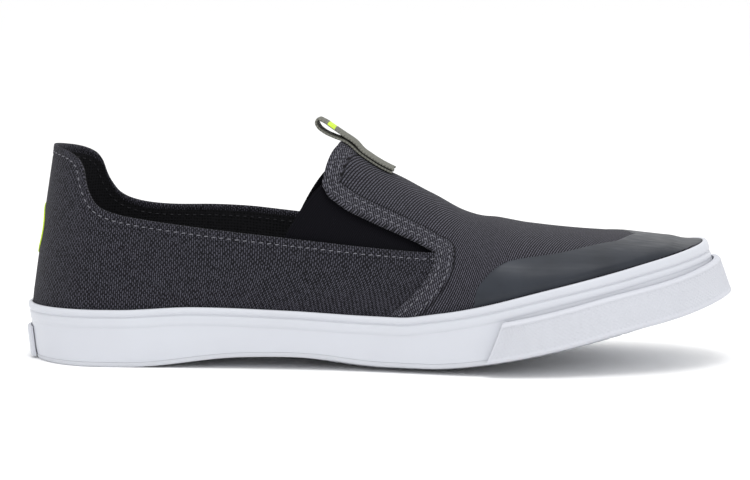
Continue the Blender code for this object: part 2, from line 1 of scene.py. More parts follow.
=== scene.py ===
import bmesh
import bpy
import numpy as np
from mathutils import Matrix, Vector


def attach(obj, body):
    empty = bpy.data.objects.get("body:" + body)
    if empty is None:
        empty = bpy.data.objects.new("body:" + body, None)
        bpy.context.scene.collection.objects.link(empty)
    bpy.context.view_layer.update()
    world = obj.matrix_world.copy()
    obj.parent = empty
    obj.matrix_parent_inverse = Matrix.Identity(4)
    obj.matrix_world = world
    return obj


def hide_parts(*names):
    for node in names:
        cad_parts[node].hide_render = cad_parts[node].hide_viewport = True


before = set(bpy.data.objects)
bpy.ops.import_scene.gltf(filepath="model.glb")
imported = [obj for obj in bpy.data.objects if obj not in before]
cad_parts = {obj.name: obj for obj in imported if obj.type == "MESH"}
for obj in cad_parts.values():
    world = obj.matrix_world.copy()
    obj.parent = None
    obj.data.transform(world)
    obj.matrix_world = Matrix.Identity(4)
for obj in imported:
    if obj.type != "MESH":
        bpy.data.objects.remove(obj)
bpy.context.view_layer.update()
print("frame loaded")

mm = 0.001
lateral, medial = -1, 1

# the last and the sole that every piece is laid on, in metres
last = {
    "length": 0.2982, "ballWidth": 0.1045, "waistWidth": 0.0700, "heelWidth": 0.0740,
    "heelCap": 0.0380, "toeCap": 0.0920, "toeShift": 0.0060, "heelPower": 2.0,
    "toePower": {lateral: 2.15, medial: 2.4},
    "heelHeight": 0.0915, "instepRise": 0.0688, "sectionPower": 0.91,
    "toeSpring": 0.0288, "springStart": 0.0265, "springEase": 0.4, "heelTuck": 0.0030,
    "archLift": 0.0050, "archStart": -0.1030, "archEnd": 0.0105,
    "edgeLift": 0.0024, "edgeLiftStart": -0.0500, "edgeLiftEnd": 0.1400, "edgeLiftRun": 0.0400,
    "foxingHeight": 0.0256, "cupInset": 0.0021, "platformHeel": 0.0130, "platformToe": 0.0090,
    "heelLean": 0.0100, "leanEnd": -0.0600, "medialRise": 0.0055, "tabFront": 0.102, "medialRiseEnd": 0.33,
    "centre": (-0.00105, -0.00143, 0.0),
}
halfLength = last["length"] / 2

# sole outline: station from heel to toe, the width that it follows, and that width's share on each side
outlineRows = [
    (0.00, "heelWidth", 0.500, 0.500), (0.10, "heelWidth", 0.507, 0.500), (0.20, "heelWidth", 0.507, 0.486),
    (0.30, "waistWidth", 0.532, 0.468), (0.40, "waistWidth", 0.543, 0.450), (0.50, "ballWidth", 0.392, 0.321),
    (0.58, "ballWidth", 0.440, 0.373), (0.65, "ballWidth", 0.488, 0.440), (0.72, "ballWidth", 0.512, 0.484),
    (0.80, "ballWidth", 0.517, 0.493), (0.90, "ballWidth", 0.512, 0.488), (1.00, "ballWidth", 0.507, 0.484),
]
# foxing's top above the floor, as shares of its height
foxingRows = [(0.00, 0.938), (0.15, 0.941), (0.26, 1.003), (0.39, 0.967), (0.50, 0.915), (0.55, 0.908),
              (0.60, 0.982), (0.67, 1.034), (0.78, 1.085), (0.90, 1.048), (0.96, 1.000), (1.00, 0.967)]
# crest of the last above the foxing, as shares of the instep's rise
crestRows = [(0.00, 1.250), (0.20, 1.300), (0.32, 1.300), (0.40, 1.130), (0.457, 0.990), (0.508, 0.847),
             (0.551, 0.757), (0.580, 0.675), (0.632, 0.526), (0.668, 0.464), (0.702, 0.428), (0.762, 0.336),
             (0.834, 0.232), (0.888, 0.156), (0.923, 0.098), (0.952, 0.050), (0.978, 0.016), (1.000, 0.004)]
# topline of the collar, as shares of the heel's height
collarRows = [(0.000, 1.000), (0.030, 0.978), (0.050, 0.948), (0.060, 0.912), (0.070, 0.840), (0.080, 0.790),
              (0.092, 0.748), (0.110, 0.718), (0.155, 0.684), (0.255, 0.646), (0.405, 0.595), (0.525, 0.559),
              (0.596, 0.548), (1.000, 0.548)]


def hermite(i, t, step, values, slopes):  # cubic from knot i to the next, at the share t of the step between
    value = (1 + 2 * t) * (1 - t) ** 2 * values[i] + t * t * (3 - 2 * t) * values[i + 1]
    return value + step * (t * (1 - t) ** 2 * slopes[i] - t * t * (1 - t) * slopes[i + 1])


def smoothCurve(at, rows):  # monotone cubic through rows of (station, value)
    x, y = (np.array(column, float) for column in zip(*rows))
    step = np.diff(x)
    slope = np.diff(y) / step
    bendAt = np.zeros_like(y)
    same = slope[:-1] * slope[1:] > 0
    before, after = 2 * step[1:] + step[:-1], step[1:] + 2 * step[:-1]
    inner = np.zeros_like(slope[:-1])
    inner[same] = (before + after)[same] / (before[same] / slope[:-1][same] + after[same] / slope[1:][same])
    bendAt[1:-1] = inner
    bendAt[0], bendAt[-1] = slope[0], slope[-1]
    at = np.clip(at, x[0], x[-1])
    i = np.clip(np.searchsorted(x, at) - 1, 0, len(step) - 1)
    return hermite(i, (at - x[i]) / step[i], step[i], y, bendAt)


def ramp(value, start, end):  # soft step from 0 at start to 1 at end
    t = np.clip((value - start) / (end - start), 0.0, 1.0)
    return t * t * (3 - 2 * t)


def hump(value, middle, width):  # bell curve, 1 at the middle
    return np.exp(-((value - middle) / width) ** 2)


def spaced(*spans):  # even steps in each span of (start, end, count), with the shared ends kept once
    parts = [np.linspace(*span) for span in spans]
    return np.concatenate([part[:-1] for part in parts[:-1]] + parts[-1:])


def stationOf(u):
    return (u + halfLength) / last["length"]


def along(q):  # turns from heel (0) to toe (1) lie closer together at both ends
    return -halfLength * np.cos(np.pi * q)


def turnOf(u):
    return np.arccos(np.clip(-u / halfLength, -1.0, 1.0)) / np.pi


def spineOf(u):
    return last["toeShift"] * ramp(u, 0.0, halfLength)


def edgePoint(q, side):  # outer edge of the foxing in plan: half-width times an elliptic cap at heel and toe
    u = along(q)
    rows = [(row[0], last[row[1]] * (row[2] if side == lateral else row[3])) for row in outlineRows]
    half = smoothCurve(stationOf(u), rows)
    for room, cap, power in ((u + halfLength, last["heelCap"], last["heelPower"]),
                             (halfLength - u, last["toeCap"], last["toePower"][side])):
        short = 1 - np.clip(room / cap, 0.0, 1.0)
        half = half * (1 - short ** power) ** (1 / power)
    past = np.where((q < 0) | (q > 1), -1, 1)
    return np.stack([u, spineOf(u) + side * past * half], -1)


def soleEdge(q, side, inset):  # the same edge moved inwards, square to itself
    q = np.asarray(q, float)
    probe = 0.0001
    run = edgePoint(q + probe, side) - edgePoint(q - probe, side)
    run /= np.linalg.norm(run, axis=-1, keepdims=True)
    outward = np.stack([-side * run[..., 1], side * run[..., 0]], -1)
    tips = ((q <= 0) | (q >= 1))[..., None]
    outward = np.where(tips, np.stack([np.where(q < 0.5, -1.0, 1.0), 0.0 * q], -1), outward)
    return edgePoint(q, side) - outward * np.asarray(inset)[..., None]


def archOf(u):
    middle, half = (last["archStart"] + last["archEnd"]) / 2, (last["archEnd"] - last["archStart"]) / 2
    return last["archLift"] * np.cos(np.pi / 2 * np.clip((u - middle) / half, -1.0, 1.0)) ** 2


def edgeLiftOf(u):  # how far the sole's edge stands off the floor under the ball
    start, end, run = last["edgeLiftStart"], last["edgeLiftEnd"], last["edgeLiftRun"]
    return last["edgeLift"] * ramp(u, start, start + run) * (1 - ramp(u, end - run, end))


def foxingTop(u):
    return last["foxingHeight"] * smoothCurve(stationOf(u), foxingRows)


def platformOf(u):
    fall = ramp(u, last["archStart"], last["springStart"])
    return last["platformHeel"] + (last["platformToe"] - last["platformHeel"]) * fall


def collarHeight(u, side):
    height = last["heelHeight"] * smoothCurve(stationOf(u), collarRows)
    if side == medial:
        height = height + last["medialRise"] * ramp(stationOf(u), last["tabFront"], last["medialRiseEnd"])
    return height


def bendLast(points):  # heel wall tucked in, forefoot turned up by z = spring * t^1.5
    u, y, h = points[..., 0], points[..., 1], points[..., 2]
    low = 1 - np.clip(h / last["foxingHeight"], 0.0, 1.0)
    u = u + last["heelTuck"] * low * (1 - ramp(u, -halfLength, last["archStart"]))
    reach = halfLength - last["springStart"]
    t = np.clip((u - last["springStart"]) / reach, 0.0, None)
    slope = np.arctan(1.5 * last["toeSpring"] / reach * t ** 0.5) * ramp(t, 0.0, last["springEase"])
    bent = np.stack([u - h * np.sin(slope), y, last["toeSpring"] * t ** 1.5 + h * np.cos(slope)], -1)
    return bent + np.array(last["centre"])


def riseOf(u, grow):
    return last["instepRise"] * smoothCurve(stationOf(u), crestRows) + grow


def heightOf(u, v, grow=0.0):  # height above the foxing's top of a share of the way up the section
    return riseOf(u, grow) * np.sin(np.clip(v, 0.0, 1.0) * np.pi / 2) ** last["sectionPower"]


def lastPoint(q, v, side, grow):  # v is -1 at the feather edge, 0 at the foxing's top and 1 on the crest
    q, v = np.broadcast_arrays(np.asarray(q, float), np.asarray(v, float))
    grow = np.broadcast_to(grow, q.shape)
    plan = soleEdge(q, side, last["cupInset"] - grow)
    u = along(q)
    top = foxingTop(u)
    feather = platformOf(u) + 0.3 * mm
    up = np.clip(v, 0.0, 1.0) * np.pi / 2
    h = top + np.clip(v, -1.0, 0.0) * (top - feather) + heightOf(u, v, grow)
    middle = spineOf(u)
    crest = u * (1 - (last["cupInset"] - grow) / halfLength)
    lean = last["heelLean"] * np.clip((h - top) / (last["heelHeight"] - top), 0.0, None)
    x = crest + (plan[..., 0] - crest) * np.cos(up) + lean * (1 - ramp(u, last["archStart"], last["leanEnd"]))
    y = middle + (plan[..., 1] - middle) * np.cos(up)
    return bendLast(np.stack([x, y, h], -1))


def shareOf(u, h):  # how far up the section a height lies
    part = np.clip((h - foxingTop(u)) / riseOf(u, 0.0), 0.0, 1.0)
    return np.arcsin(part ** (1 / last["sectionPower"])) * 2 / np.pi


def unit(vectors):
    return vectors / np.maximum(np.linalg.norm(vectors, axis=-1, keepdims=True), 1e-12)


def lengthAlong(points, axis=0):  # running length of grid lines, starting at 0
    step = np.linalg.norm(np.diff(points, axis=axis), axis=-1)
    start = np.zeros_like(np.take(step, [0], axis=axis))
    return np.concatenate([start, np.cumsum(step, axis=axis)], axis=axis)


def nearestOn(points, line):  # distance to a dense line, and how far along it the nearest point lies
    flat = points.reshape(-1, 3)
    run = lengthAlong(line)
    gap, place = np.empty(len(flat)), np.empty(len(flat))
    for start in range(0, len(flat), 4000):  # blocks keep the memory small
        block = flat[start:start + 4000]
        square = ((block[:, None] - line[None]) ** 2).sum(-1)
        best = square.argmin(1)
        gap[start:start + 4000] = np.sqrt(square[np.arange(len(block)), best])
        place[start:start + 4000] = run[best]
    return gap.reshape(points.shape[:-1]), place.reshape(points.shape[:-1])


def sampleLine(at, run, line):  # values of a line at lengths along it
    return np.stack([np.interp(at, run, column) for column in line.T], -1)


def denseLine(points, spacing=0.25 * mm):  # the same line with even points
    run = lengthAlong(points)
    return sampleLine(np.linspace(0, run[-1], max(int(run[-1] / spacing), 2)), run, points)


def clothMap(across, up):  # pattern coordinates in millimetres
    return np.stack(np.broadcast_arrays(across, up), -1) * 1000


def newSheet():
    return {"points": [], "faces": [], "uv": [], "finish": [], "hem": [], "count": 0}


def addGrid(sheet, points, uv=None, finish=0, hemDistance=-9.0):
    # one grid of quads, with its pattern coordinates and its distance past the hem, both in millimetres; the
    # canvas paints a shadow in the hem's fold from that distance
    rows, cols = points.shape[:2]
    index = sheet["count"] + np.arange(rows * cols).reshape(rows, cols)
    faces = np.stack([index[:-1, :-1], index[:-1, 1:], index[1:, 1:], index[1:, :-1]], -1).reshape(-1, 4)
    sheet["points"].append(points.reshape(-1, 3))
    sheet["uv"].append((np.zeros((rows, cols, 2)) if uv is None else uv).reshape(-1, 2))
    sheet["faces"].append(faces)
    sheet["hem"].append(np.broadcast_to(hemDistance, (rows, cols)).ravel())
    sheet["finish"].append(np.full(len(faces), finish))
    sheet["count"] += rows * cols


def joinSkins(sheet, outer, inner, uv, axis, end, finish=0):  # the strip between two skins at one end
    pair = [0, 1] if end == 0 else [-2, -1]
    strip = np.stack([outer.take(end, axis), inner.take(end, axis)])
    addGrid(sheet, strip, np.moveaxis(uv.take(pair, axis), axis, 0), finish)


weldDistance = 3e-6


def makePiece(name, sheet, materials, nodes=(), sharp=50):  # welds the grids into one closed piece
    points, uv = np.concatenate(sheet["points"]), np.concatenate(sheet["uv"])
    faces = np.concatenate(sheet["faces"])
    mesh = bpy.data.meshes.new(name)
    mesh.from_pydata(points.tolist(), [], faces.tolist())
    layer = mesh.uv_layers.new(name="weave")
    layer.data.foreach_set("uv", uv[faces.ravel()].ravel())
    mesh.polygons.foreach_set("material_index", np.concatenate(sheet["finish"]).astype(np.int32))
    fromHem = mesh.attributes.new("hemDistance", "FLOAT", "POINT")
    fromHem.data.foreach_set("value", np.concatenate(sheet["hem"]).astype(np.float32))
    for material in materials:
        mesh.materials.append(material)
    work = bmesh.new()
    work.from_mesh(mesh)
    bmesh.ops.remove_doubles(work, verts=work.verts, dist=weldDistance)
    bmesh.ops.dissolve_degenerate(work, edges=work.edges, dist=weldDistance)
    openEdges = [edge for edge in work.edges if edge.is_boundary]
    if openEdges:
        bmesh.ops.holes_fill(work, edges=openEdges, sides=0)
    bmesh.ops.recalc_face_normals(work, faces=work.faces)
    if work.calc_volume(signed=True) < 0:
        bmesh.ops.reverse_faces(work, faces=work.faces)
    work.to_mesh(mesh)
    work.free()
    mesh.shade_smooth()
    mesh.set_sharp_from_angle(angle=np.radians(sharp))
    piece = bpy.data.objects.new(name, mesh)
    bpy.context.scene.collection.objects.link(piece)
    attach(piece, "root")
    if nodes:
        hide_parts(*nodes)
    print(name, len(mesh.polygons), "faces")
    return piece


# materials


def toLinear(hexColour):  # sRGB hex to linear colour
    s = np.array([int(hexColour[i:i + 2], 16) / 255 for i in (1, 3, 5)])
    return (*np.where(s <= 0.04045, s / 12.92, ((s + 0.055) / 1.055) ** 2.4).tolist(), 1.0)


def makeMaterial(name, colour, roughness, specular, rows=(), extra=None):
    # rows of nodes: name, kind, settings, inputs
    # an input is a value, a hex colour, or the output of a row as "node.output"
    material = bpy.data.materials.new(name)
    material.use_nodes = True
    tree = material.node_tree
    made = {"shader": tree.nodes["Principled BSDF"]}
    shaderInputs = {"Base Color": colour, "Roughness": roughness, "Specular IOR Level": specular}
    shaderInputs.update(extra or {})
    for label, kind, settings, inputs in rows:
        made[label] = tree.nodes.new("ShaderNode" + kind)
        for key, value in settings.items():
            setattr(made[label], key, value)
    for label, inputs in [("shader", shaderInputs)] + [(row[0], row[3]) for row in rows]:
        for key, value in inputs.items():
            socket = made[label].inputs[key]
            if not isinstance(value, str):
                socket.default_value = value
            elif value.startswith("#"):
                socket.default_value = toLinear(value)
            else:
                source, _, output = value.partition(".")
                tree.links.new(made[source].outputs[output or 0], socket)
    # the rows named colour, rough and bump end in the shader
    for label, key, output in (("colour", "Base Color", 2), ("rough", "Roughness", 0), ("bump", "Normal", 0)):
        if label in made:
            tree.links.new(made[label].outputs[output], made["shader"].inputs[key])
    return material


def skinRows(factor, dark, light, height=None, strength=0.0, depth=0.0):  # two colours, and a relief in mm
    rows = [("colour", "Mix", {"data_type": "RGBA"}, {"Factor": factor, 6: dark, 7: light})]
    if height:
        rows.append(("bump", "Bump", {}, {"Height": height, "Strength": strength, "Distance": depth * mm}))
    return rows


clothRow = ("cloth", "UVMap", {"uv_map": "weave"}, {})
placeRow = ("place", "TexCoord", {}, {})
smoothStep = {"interpolation_type": "SMOOTHSTEP"}
# shared by the canvases: shift from rib to rib and by slubs, relief, and the place of the painted shadow in
# the hem's fold, in mm
weave = {"stagger": 0.5, "slub": 1.8, "ribRelief": 0.6, "yarnRelief": 0.6, "relief": 0.16, "foldPlace": 0.4,
         "roughness": 0.88, "specular": 0.14, "sheen": {"Sheen Weight": 0.04, "Sheen Roughness": 0.5}}
# for each canvas: pitches in mm, slant and wander of the ribs, how far the dashes are broken, and the
# colours; the vamp's and the hem's lighter colours carry painted light from above on the same charcoal cloth
canvasLook = {
    "quarter": {"ribPitch": 0.90, "dashPeriod": 2.0, "shear": 0.05, "wander": 0.8, "broken": 1.0,
                "dark": "#101014", "light": "#61606c"},
    "vamp": {"ribPitch": 1.05, "dashPeriod": 1.7, "shear": 0.40, "wander": 0.4, "broken": 0.55,
             "dark": "#0a0a0d", "light": "#6b6a76"},
    "hem": {"ribPitch": 1.00, "dashPeriod": 1.6, "shear": -0.25, "wander": 0.6, "broken": 0.8,
            "dark": "#141418", "light": "#7a7985"},
}


def wovenCanvas(name, look):  # cotton canvas, yarn-dyed charcoal: pale warp dashes stand on dark ribs
    steps = [  # name, operation and its two inputs
        ("slant", "MULTIPLY", "flat.Y", look["shear"]), ("straight", "SUBTRACT", "flat.X", "slant"),
        ("drift", "MULTIPLY", "patchy.Fac", look["wander"]), ("across", "ADD", "straight", "drift"),
        ("rib", "DIVIDE", "across", look["ribPitch"]), ("ribCount", "FLOOR", "rib", 0.0),
        ("stagger", "MULTIPLY", "ribCount", weave["stagger"]),
        ("slip", "MULTIPLY", "slub.Fac", weave["slub"]),
        ("turn", "ADD", "stagger", "slip"), ("length", "DIVIDE", "flat.Y", look["dashPeriod"]),
        ("dash", "ADD", "length", "turn"), ("ribShape", "PINGPONG", "rib", 0.5),
        ("dashShape", "PINGPONG", "dash", 0.5), ("between", "SUBTRACT", 1.0, "dashMask.Result"),
        ("unbroken", "MULTIPLY", "between", look["broken"]), ("shown", "SUBTRACT", 1.0, "unbroken"),
        ("yarn", "MULTIPLY", "ribMask.Result", "shown"), ("fuzzy", "MULTIPLY", "yarn", "fuzz.Result"),
        # painted shadow: the cloth is darkened along the hem's fold, a little past the hem
        ("fromFold", "SUBTRACT", "hem.Fac", weave["foldPlace"]), ("away", "ABSOLUTE", "fromFold", 0.0),
        ("shade", "MULTIPLY", "fuzzy", "fold.Result"),
        ("ribs", "MULTIPLY", "ribMask.Result", weave["ribRelief"]),
        ("yarns", "MULTIPLY", "yarn", weave["yarnRelief"]), ("height", "ADD", "ribs", "yarns"),
    ]
    rows = [
        clothRow,
        ("flat", "SeparateXYZ", {}, {0: "cloth.UV"}),
        ("hem", "Attribute", {"attribute_name": "hemDistance"}, {}),
        ("patchy", "TexNoise", {}, {"Vector": "cloth.UV", "Scale": 0.35, "Detail": 2.0, "Roughness": 0.6}),
        ("slub", "TexNoise", {}, {"Vector": "cloth.UV", "Scale": 1.3, "Detail": 2.0, "Roughness": 0.7}),
        ("fibre", "TexNoise", {}, {"Vector": "cloth.UV", "Scale": 4.0, "Detail": 3.0, "Roughness": 0.8}),
        ("ribMask", "MapRange", smoothStep, {"Value": "ribShape", "From Min": 0.14, "From Max": 0.38}),
        ("dashMask", "MapRange", smoothStep, {"Value": "dashShape", "From Min": 0.10, "From Max": 0.34}),
        ("fuzz", "MapRange", {}, {"Value": "fibre.Fac", "From Min": 0.3, "From Max": 0.7, "To Min": 0.15}),
        # painted shadow in the hem's fold: darkens the cloth to 0.3 of its tone at the fold
        ("fold", "MapRange", smoothStep, {"Value": "away", "From Min": 0.1, "From Max": 0.6, "To Min": 0.3}),
    ]
    rows += [(label, "Math", {"operation": operation}, {0: a, 1: b}) for label, operation, a, b in steps]
    rows += skinRows("shade", look["dark"], look["light"], "height", 0.6, weave["relief"])
    return makeMaterial(name, look["dark"], weave["roughness"], weave["specular"], rows, weave["sheen"])


def vulcanisedRubber(name, colour, shade, roughness, grain):  # white rubber, cured in steam: soft satin skin
    return makeMaterial(name, colour, roughness, 0.45, [
        placeRow,
        ("cloud", "TexNoise", {}, {"Vector": "place.Object", "Scale": 35.0, "Detail": 3.0}),
        ("skin", "TexNoise", {}, {"Vector": "place.Object", "Scale": grain, "Detail": 2.0}),
        *skinRows("cloud.Fac", colour, shade, "skin.Fac", 0.12, 0.05),
    ], {"Subsurface Weight": 0.05, "Subsurface Radius": (0.002, 0.002, 0.002)})


def spunThread(name, dark, light):  # polyester thread, twisted: with a soft gloss
    return makeMaterial(name, light, 0.6, 0.4, [
        placeRow,
        ("fibre", "TexNoise", {}, {"Vector": "place.Object", "Scale": 1500.0, "Detail": 2.0}),
        *skinRows("fibre.Fac", dark, light),
    ])


quarterCanvas = wovenCanvas("quarterCanvas", canvasLook["quarter"])
vampCanvas = wovenCanvas("vampCanvas", canvasLook["vamp"])
hemCanvas = wovenCanvas("hemCanvas", canvasLook["hem"])
# polyester tricot, knitted: small dark holes in a black ground
liningCloth = makeMaterial("tricotLining", "#17171a", 0.9, 0.2, [
    clothRow,
    ("cells", "TexVoronoi", {}, {"Vector": "cloth.UV", "Scale": 0.75, "Randomness": 0.25}),
    ("holes", "MapRange", smoothStep, {"Value": "cells.Distance", "From Min": 0.15, "From Max": 0.5}),
    *skinRows("holes.Result", "#08080a", "#19191c", "holes.Result", 0.6, 0.15),
])
# rubber cored webbing, woven black: fine ribs run up the gusset
elasticCloth = makeMaterial("wovenElastic", "#0d0c12", 0.85, 0.08, [
    clothRow,
    ("ribs", "TexWave", {"wave_type": "BANDS", "bands_direction": "X"},
     {"Vector": "cloth.UV", "Scale": 0.34, "Distortion": 0.3, "Detail": 1.0}),
    *skinRows("ribs.Fac", "#050508", "#0d0c12", "ribs.Fac", 0.4, 0.12),
])
# thermoplastic polyurethane film, pressed on: satin, with fine streaks along the shoe
filmSkin = makeMaterial("pressedFilm", "#262930", 0.42, 0.22, [
    placeRow,
    ("stretch", "Mapping", {}, {"Vector": "place.Object", "Scale": (60.0, 400.0, 900.0)}),
    ("streak", "TexNoise", {}, {"Vector": "stretch.Vector", "Scale": 1.0, "Detail": 4.0, "Roughness": 0.6}),
    ("cloud", "TexNoise", {}, {"Vector": "place.Object", "Scale": 60.0, "Detail": 3.0}),
    ("rough", "MapRange", {},
     {"Value": "streak.Fac", "From Min": 0.3, "From Max": 0.7, "To Min": 0.36, "To Max": 0.52}),
    *skinRows("cloud.Fac", "#1f2227", "#343840", "streak.Fac", 0.35, 0.06),
])
# polyester webbing, woven: fine ribs across the strap
strapCloth = makeMaterial("wovenWebbing", "#6a6a63", 0.8, 0.25, [
    clothRow,
    ("checks", "TexChecker", {}, {"Vector": "cloth.UV", "Scale": 1.4}),
    ("fibre", "TexNoise", {}, {"Vector": "cloth.UV", "Scale": 2.5, "Detail": 3.0}),
    ("blend", "Math", {"operation": "MULTIPLY_ADD"}, {0: "checks.Fac", 1: 0.45, 2: "fibre.Fac"}),
    *skinRows("blend", "#3c3c38", "#77776f", "blend", 0.6, 0.12),
])
# nylon laminate on the foot bed, brushed
bedCloth = makeMaterial("brushedTextile", "#1b1b1e", 0.92, 0.2, [
    placeRow,
    ("nap", "TexNoise", {}, {"Vector": "place.Object", "Scale": 900.0, "Detail": 3.0}),
    *skinRows("nap.Fac", "#121214", "#28282c", "nap.Fac", 0.5, 0.1),
])
wallRubber = vulcanisedRubber("wallRubber", "#cacdd4", "#c3c5cc", 0.42, 900.0)
bumperRubber = vulcanisedRubber("bumperRubber", "#c8cad1", "#bfc1c8", 0.55, 1200.0)
treadRubber = vulcanisedRubber("treadRubber", "#c5c8ce", "#bec0c6", 0.55, 1200.0)
paleThread = spunThread("paleThread", "#505058", "#828289")
darkThread = spunThread("darkThread", "#1c1c20", "#303035")
limeThread = spunThread("limeThread", "#a9c423", "#d3f03c")
print("materials made")


# upper: two quarters in one panel round the heel, and the vamp with its flap over them

upper = {
    "wall": 0.0020, "lap": 0.0008, "lapRise": 0.0030,
    "seamLean": 0.0192, "seamPower": 2.5, "seamFade": 0.0400, "toeBelt": 0.38,
    "flapReach": 0.0493, "flapCorner": 0.0256, "flapLean": 0.0082, "flapPower": 1.3,
    "edgeRound": 0.0009,
    "collarRow": 0.0024, "collarHem": 0.0036, "collarHemRise": 0.00025,
    "flapStitches": (0.0019, 0.0049), "seamStitches": (0.0021, 0.0062), "flapHem": 0.0068, "seamHem": 0.0076,
    "hemRise": 0.00070, "foldDepth": 0.00025, "foldPlace": 0.0004, "foldWidth": 0.0003,
    "grooveDepth": 0.00030, "grooveWidth": 0.00055, "pucker": 0.00016, "bobbinRow": 0.0034,
    "stitchPitch": 0.0033, "rowJump": 0.0030, "seamEnd": 0.0240, "seamBlend": 0.0160,
    "slackEdge": 0.0080, "slackHem": 0.0060, "edgeWrap": 3.0, "edgeSteps": 8,
}
apex = last["archEnd"] + upper["seamLean"]
# lower edge of the flap: share of its reach behind the apex, and of its corner's rise
flapRows = [(0.00, 0.000), (0.10, 0.075), (0.35, 0.270), (0.60, 0.470), (0.80, 0.650), (0.91, 0.790),
            (0.97, 0.885), (1.00, 1.000)]


def seamSlant(u):
    fade = 1 - ramp(u, last["archEnd"], halfLength - upper["seamFade"])
    return np.where(u < last["archEnd"], ramp(u, last["archStart"], last["archEnd"]), fade)


def beltAt(foot, part, side, isVamp):  # from the foxing up to the topline, or to the dome's foot on the vamp
    head = foot + upper["seamLean"] * seamSlant(foot)
    top = shareOf(head, collarHeight(head, side) - upper["edgeRound"])
    if isVamp:
        start = shareOf(np.array(apex), collarHeight(np.array(apex), side))
        top = start + (upper["toeBelt"] - start) * ramp(head, apex, halfLength)
    u = foot + (head - foot) * (1 - (1 - part) ** upper["seamPower"])
    return turnOf(u), part * top


def vampGrow(q, v):  # the vamp lies on the quarter, so it stands proud above the foxing
    return upper["lap"] * ramp(heightOf(along(q), v), 0.0, upper["lapRise"])


def flapLow(back, side):
    height = collarHeight(np.array(apex), side) + upper["flapCorner"] * smoothCurve(back, flapRows)
    inside = upper["edgeRound"]
    return apex - (upper["flapReach"] - inside) * back, height + inside * ramp(back, 0.0, 0.2)


lowShares = np.array([-1.0, -0.4])[:, None]  # rows behind the foxing
seamSpan = slice(2, 28)  # the belt's rows above them, up to the flap
domePart = spaced((0, 0.25, 20), (0.25, 1, 28))[:, None]


def quarterTurns(side):
    tab = turnOf(-halfLength + last["length"] * last["tabFront"])
    turns = spaced((0, tab, 44), (tab, turnOf(last["archEnd"]), 112))
    q, v = beltAt(along(turns), spaced((0, 0.7, 15), (0.7, 1, 27))[:, None], side, False)
    low = lowShares * np.ones(len(turns))
    return np.vstack([np.broadcast_to(turns, low.shape), q]), np.vstack([low, v])


def vampTurns(side):
    start, near = turnOf(last["archEnd"]), turnOf(last["archEnd"] + 0.010)
    turns = spaced((start, near, 20), (near, 1, 84))
    q, v = beltAt(along(turns), np.linspace(0, 1, seamSpan.stop - seamSpan.start)[:, None], side, True)
    low = lowShares * np.ones(len(turns))
    domeShare = v[-1] + (1 - v[-1]) * domePart[1:]
    q = np.vstack([np.broadcast_to(turns, low.shape), q, np.broadcast_to(q[-1], domeShare.shape)])
    return q, np.vstack([low, v, domeShare])


def flapTurns(side):
    back = 1 - np.linspace(0.0, 1.0, 66) ** 1.15
    low, height = flapLow(back, side)
    high = low + upper["flapLean"] * back
    start = shareOf(low, height)
    return turnOf(low + (high - low) * domePart ** upper["flapPower"]), start + (1 - start) * domePart


def vampEdge(belt, flap, first=0):  # up the seam, back along the flap's lower edge and up its rear edge
    return np.vstack([belt[first:seamSpan.stop, 0], flap[0, -2::-1], flap[1:, 0]])


def rimFrom(outer, inner, outward, steps=upper["edgeSteps"]):  # half-round edge between the two skins
    turn = np.linspace(0, np.pi, steps + 1)[None, :, None]
    middle, half = (outer + inner)[:, None] / 2, (outer - inner)[:, None] / 2
    return middle + np.cos(turn) * half + np.sin(turn) * upper["edgeRound"] * outward[:, None]


def softened(vectors, passes=3):  # mean of neighbours, with the ends kept
    for _ in range(passes):
        mean = (vectors[:-2] + vectors[1:-1] * 2 + vectors[2:]) / 4
        vectors = np.concatenate([vectors[:1], mean, vectors[-1:]])
    return unit(vectors)


# soft troughs and ridges, listed: middle x and z, half-length, half-width, turn in degrees, depth
creaseRows = [
    (0.048, 0.052, 0.016, 0.0035, 78, -0.0005), (0.056, 0.050, 0.014, 0.0030, 74, 0.0003),
    (0.035, 0.034, 0.010, 0.0030, 66, -0.0004), (0.068, 0.046, 0.010, 0.0030, 70, -0.0003),
    (-0.060, 0.045, 0.020, 0.0060, 96, -0.0003), (-0.105, 0.050, 0.022, 0.0050, 84, 0.0003),
    (-0.010, 0.040, 0.016, 0.0050, 82, -0.0003), (0.012, 0.046, 0.012, 0.0040, 60, 0.0002),
]


# slow waves of a cloth that is held only at its edges: turn per metre along x, y and z, and where they start
waveHeight = 0.00010
waveRows = [(210.0, 0.0, 130.0, 0.0), (83.0, 50.0, -190.0, 1.7)]


def unevenness(points):  # creases and slow waves together
    total = sum(waveHeight * np.sin(points @ np.array(row[:3]) + row[3]) for row in waveRows)
    for x, z, longHalf, wideHalf, turn, depth in creaseRows:
        c, s = np.cos(np.radians(turn)), np.sin(np.radians(turn))
        dx, dz = points[..., 0] - x, points[..., 2] - z
        total += depth * np.exp(-((dx * c + dz * s) / longHalf) ** 2 - ((dz * c - dx * s) / wideHalf) ** 2)
    return total


def slackOf(v):  # the cloth is free to crease between the foxing and the crest
    return ramp(v, 0.0, 0.12) * (1 - ramp(v, 0.6, 0.95))


def hemRelief(gap, place, rows, hem, rise):  # a turned hem: raised, with a groove at each row and puckers
    raised = rise * (1 - ramp(gap, hem - upper["foldWidth"], hem + upper["foldWidth"]))
    raised = raised - upper["foldDepth"] * hump(gap, hem + upper["foldPlace"], upper["foldWidth"])
    pull = sum(hump(gap, row, upper["grooveWidth"]) for row in rows)
    beat = 0.5 + 0.5 * np.cos(2 * np.pi * place / upper["stitchPitch"])
    between = hump(gap, np.mean(rows, axis=0), hem / 4)
    grooves = upper["grooveDepth"] * pull * (0.6 + 0.4 * beat)
    return raised - grooves + upper["pucker"] * between * (beat - 0.5)


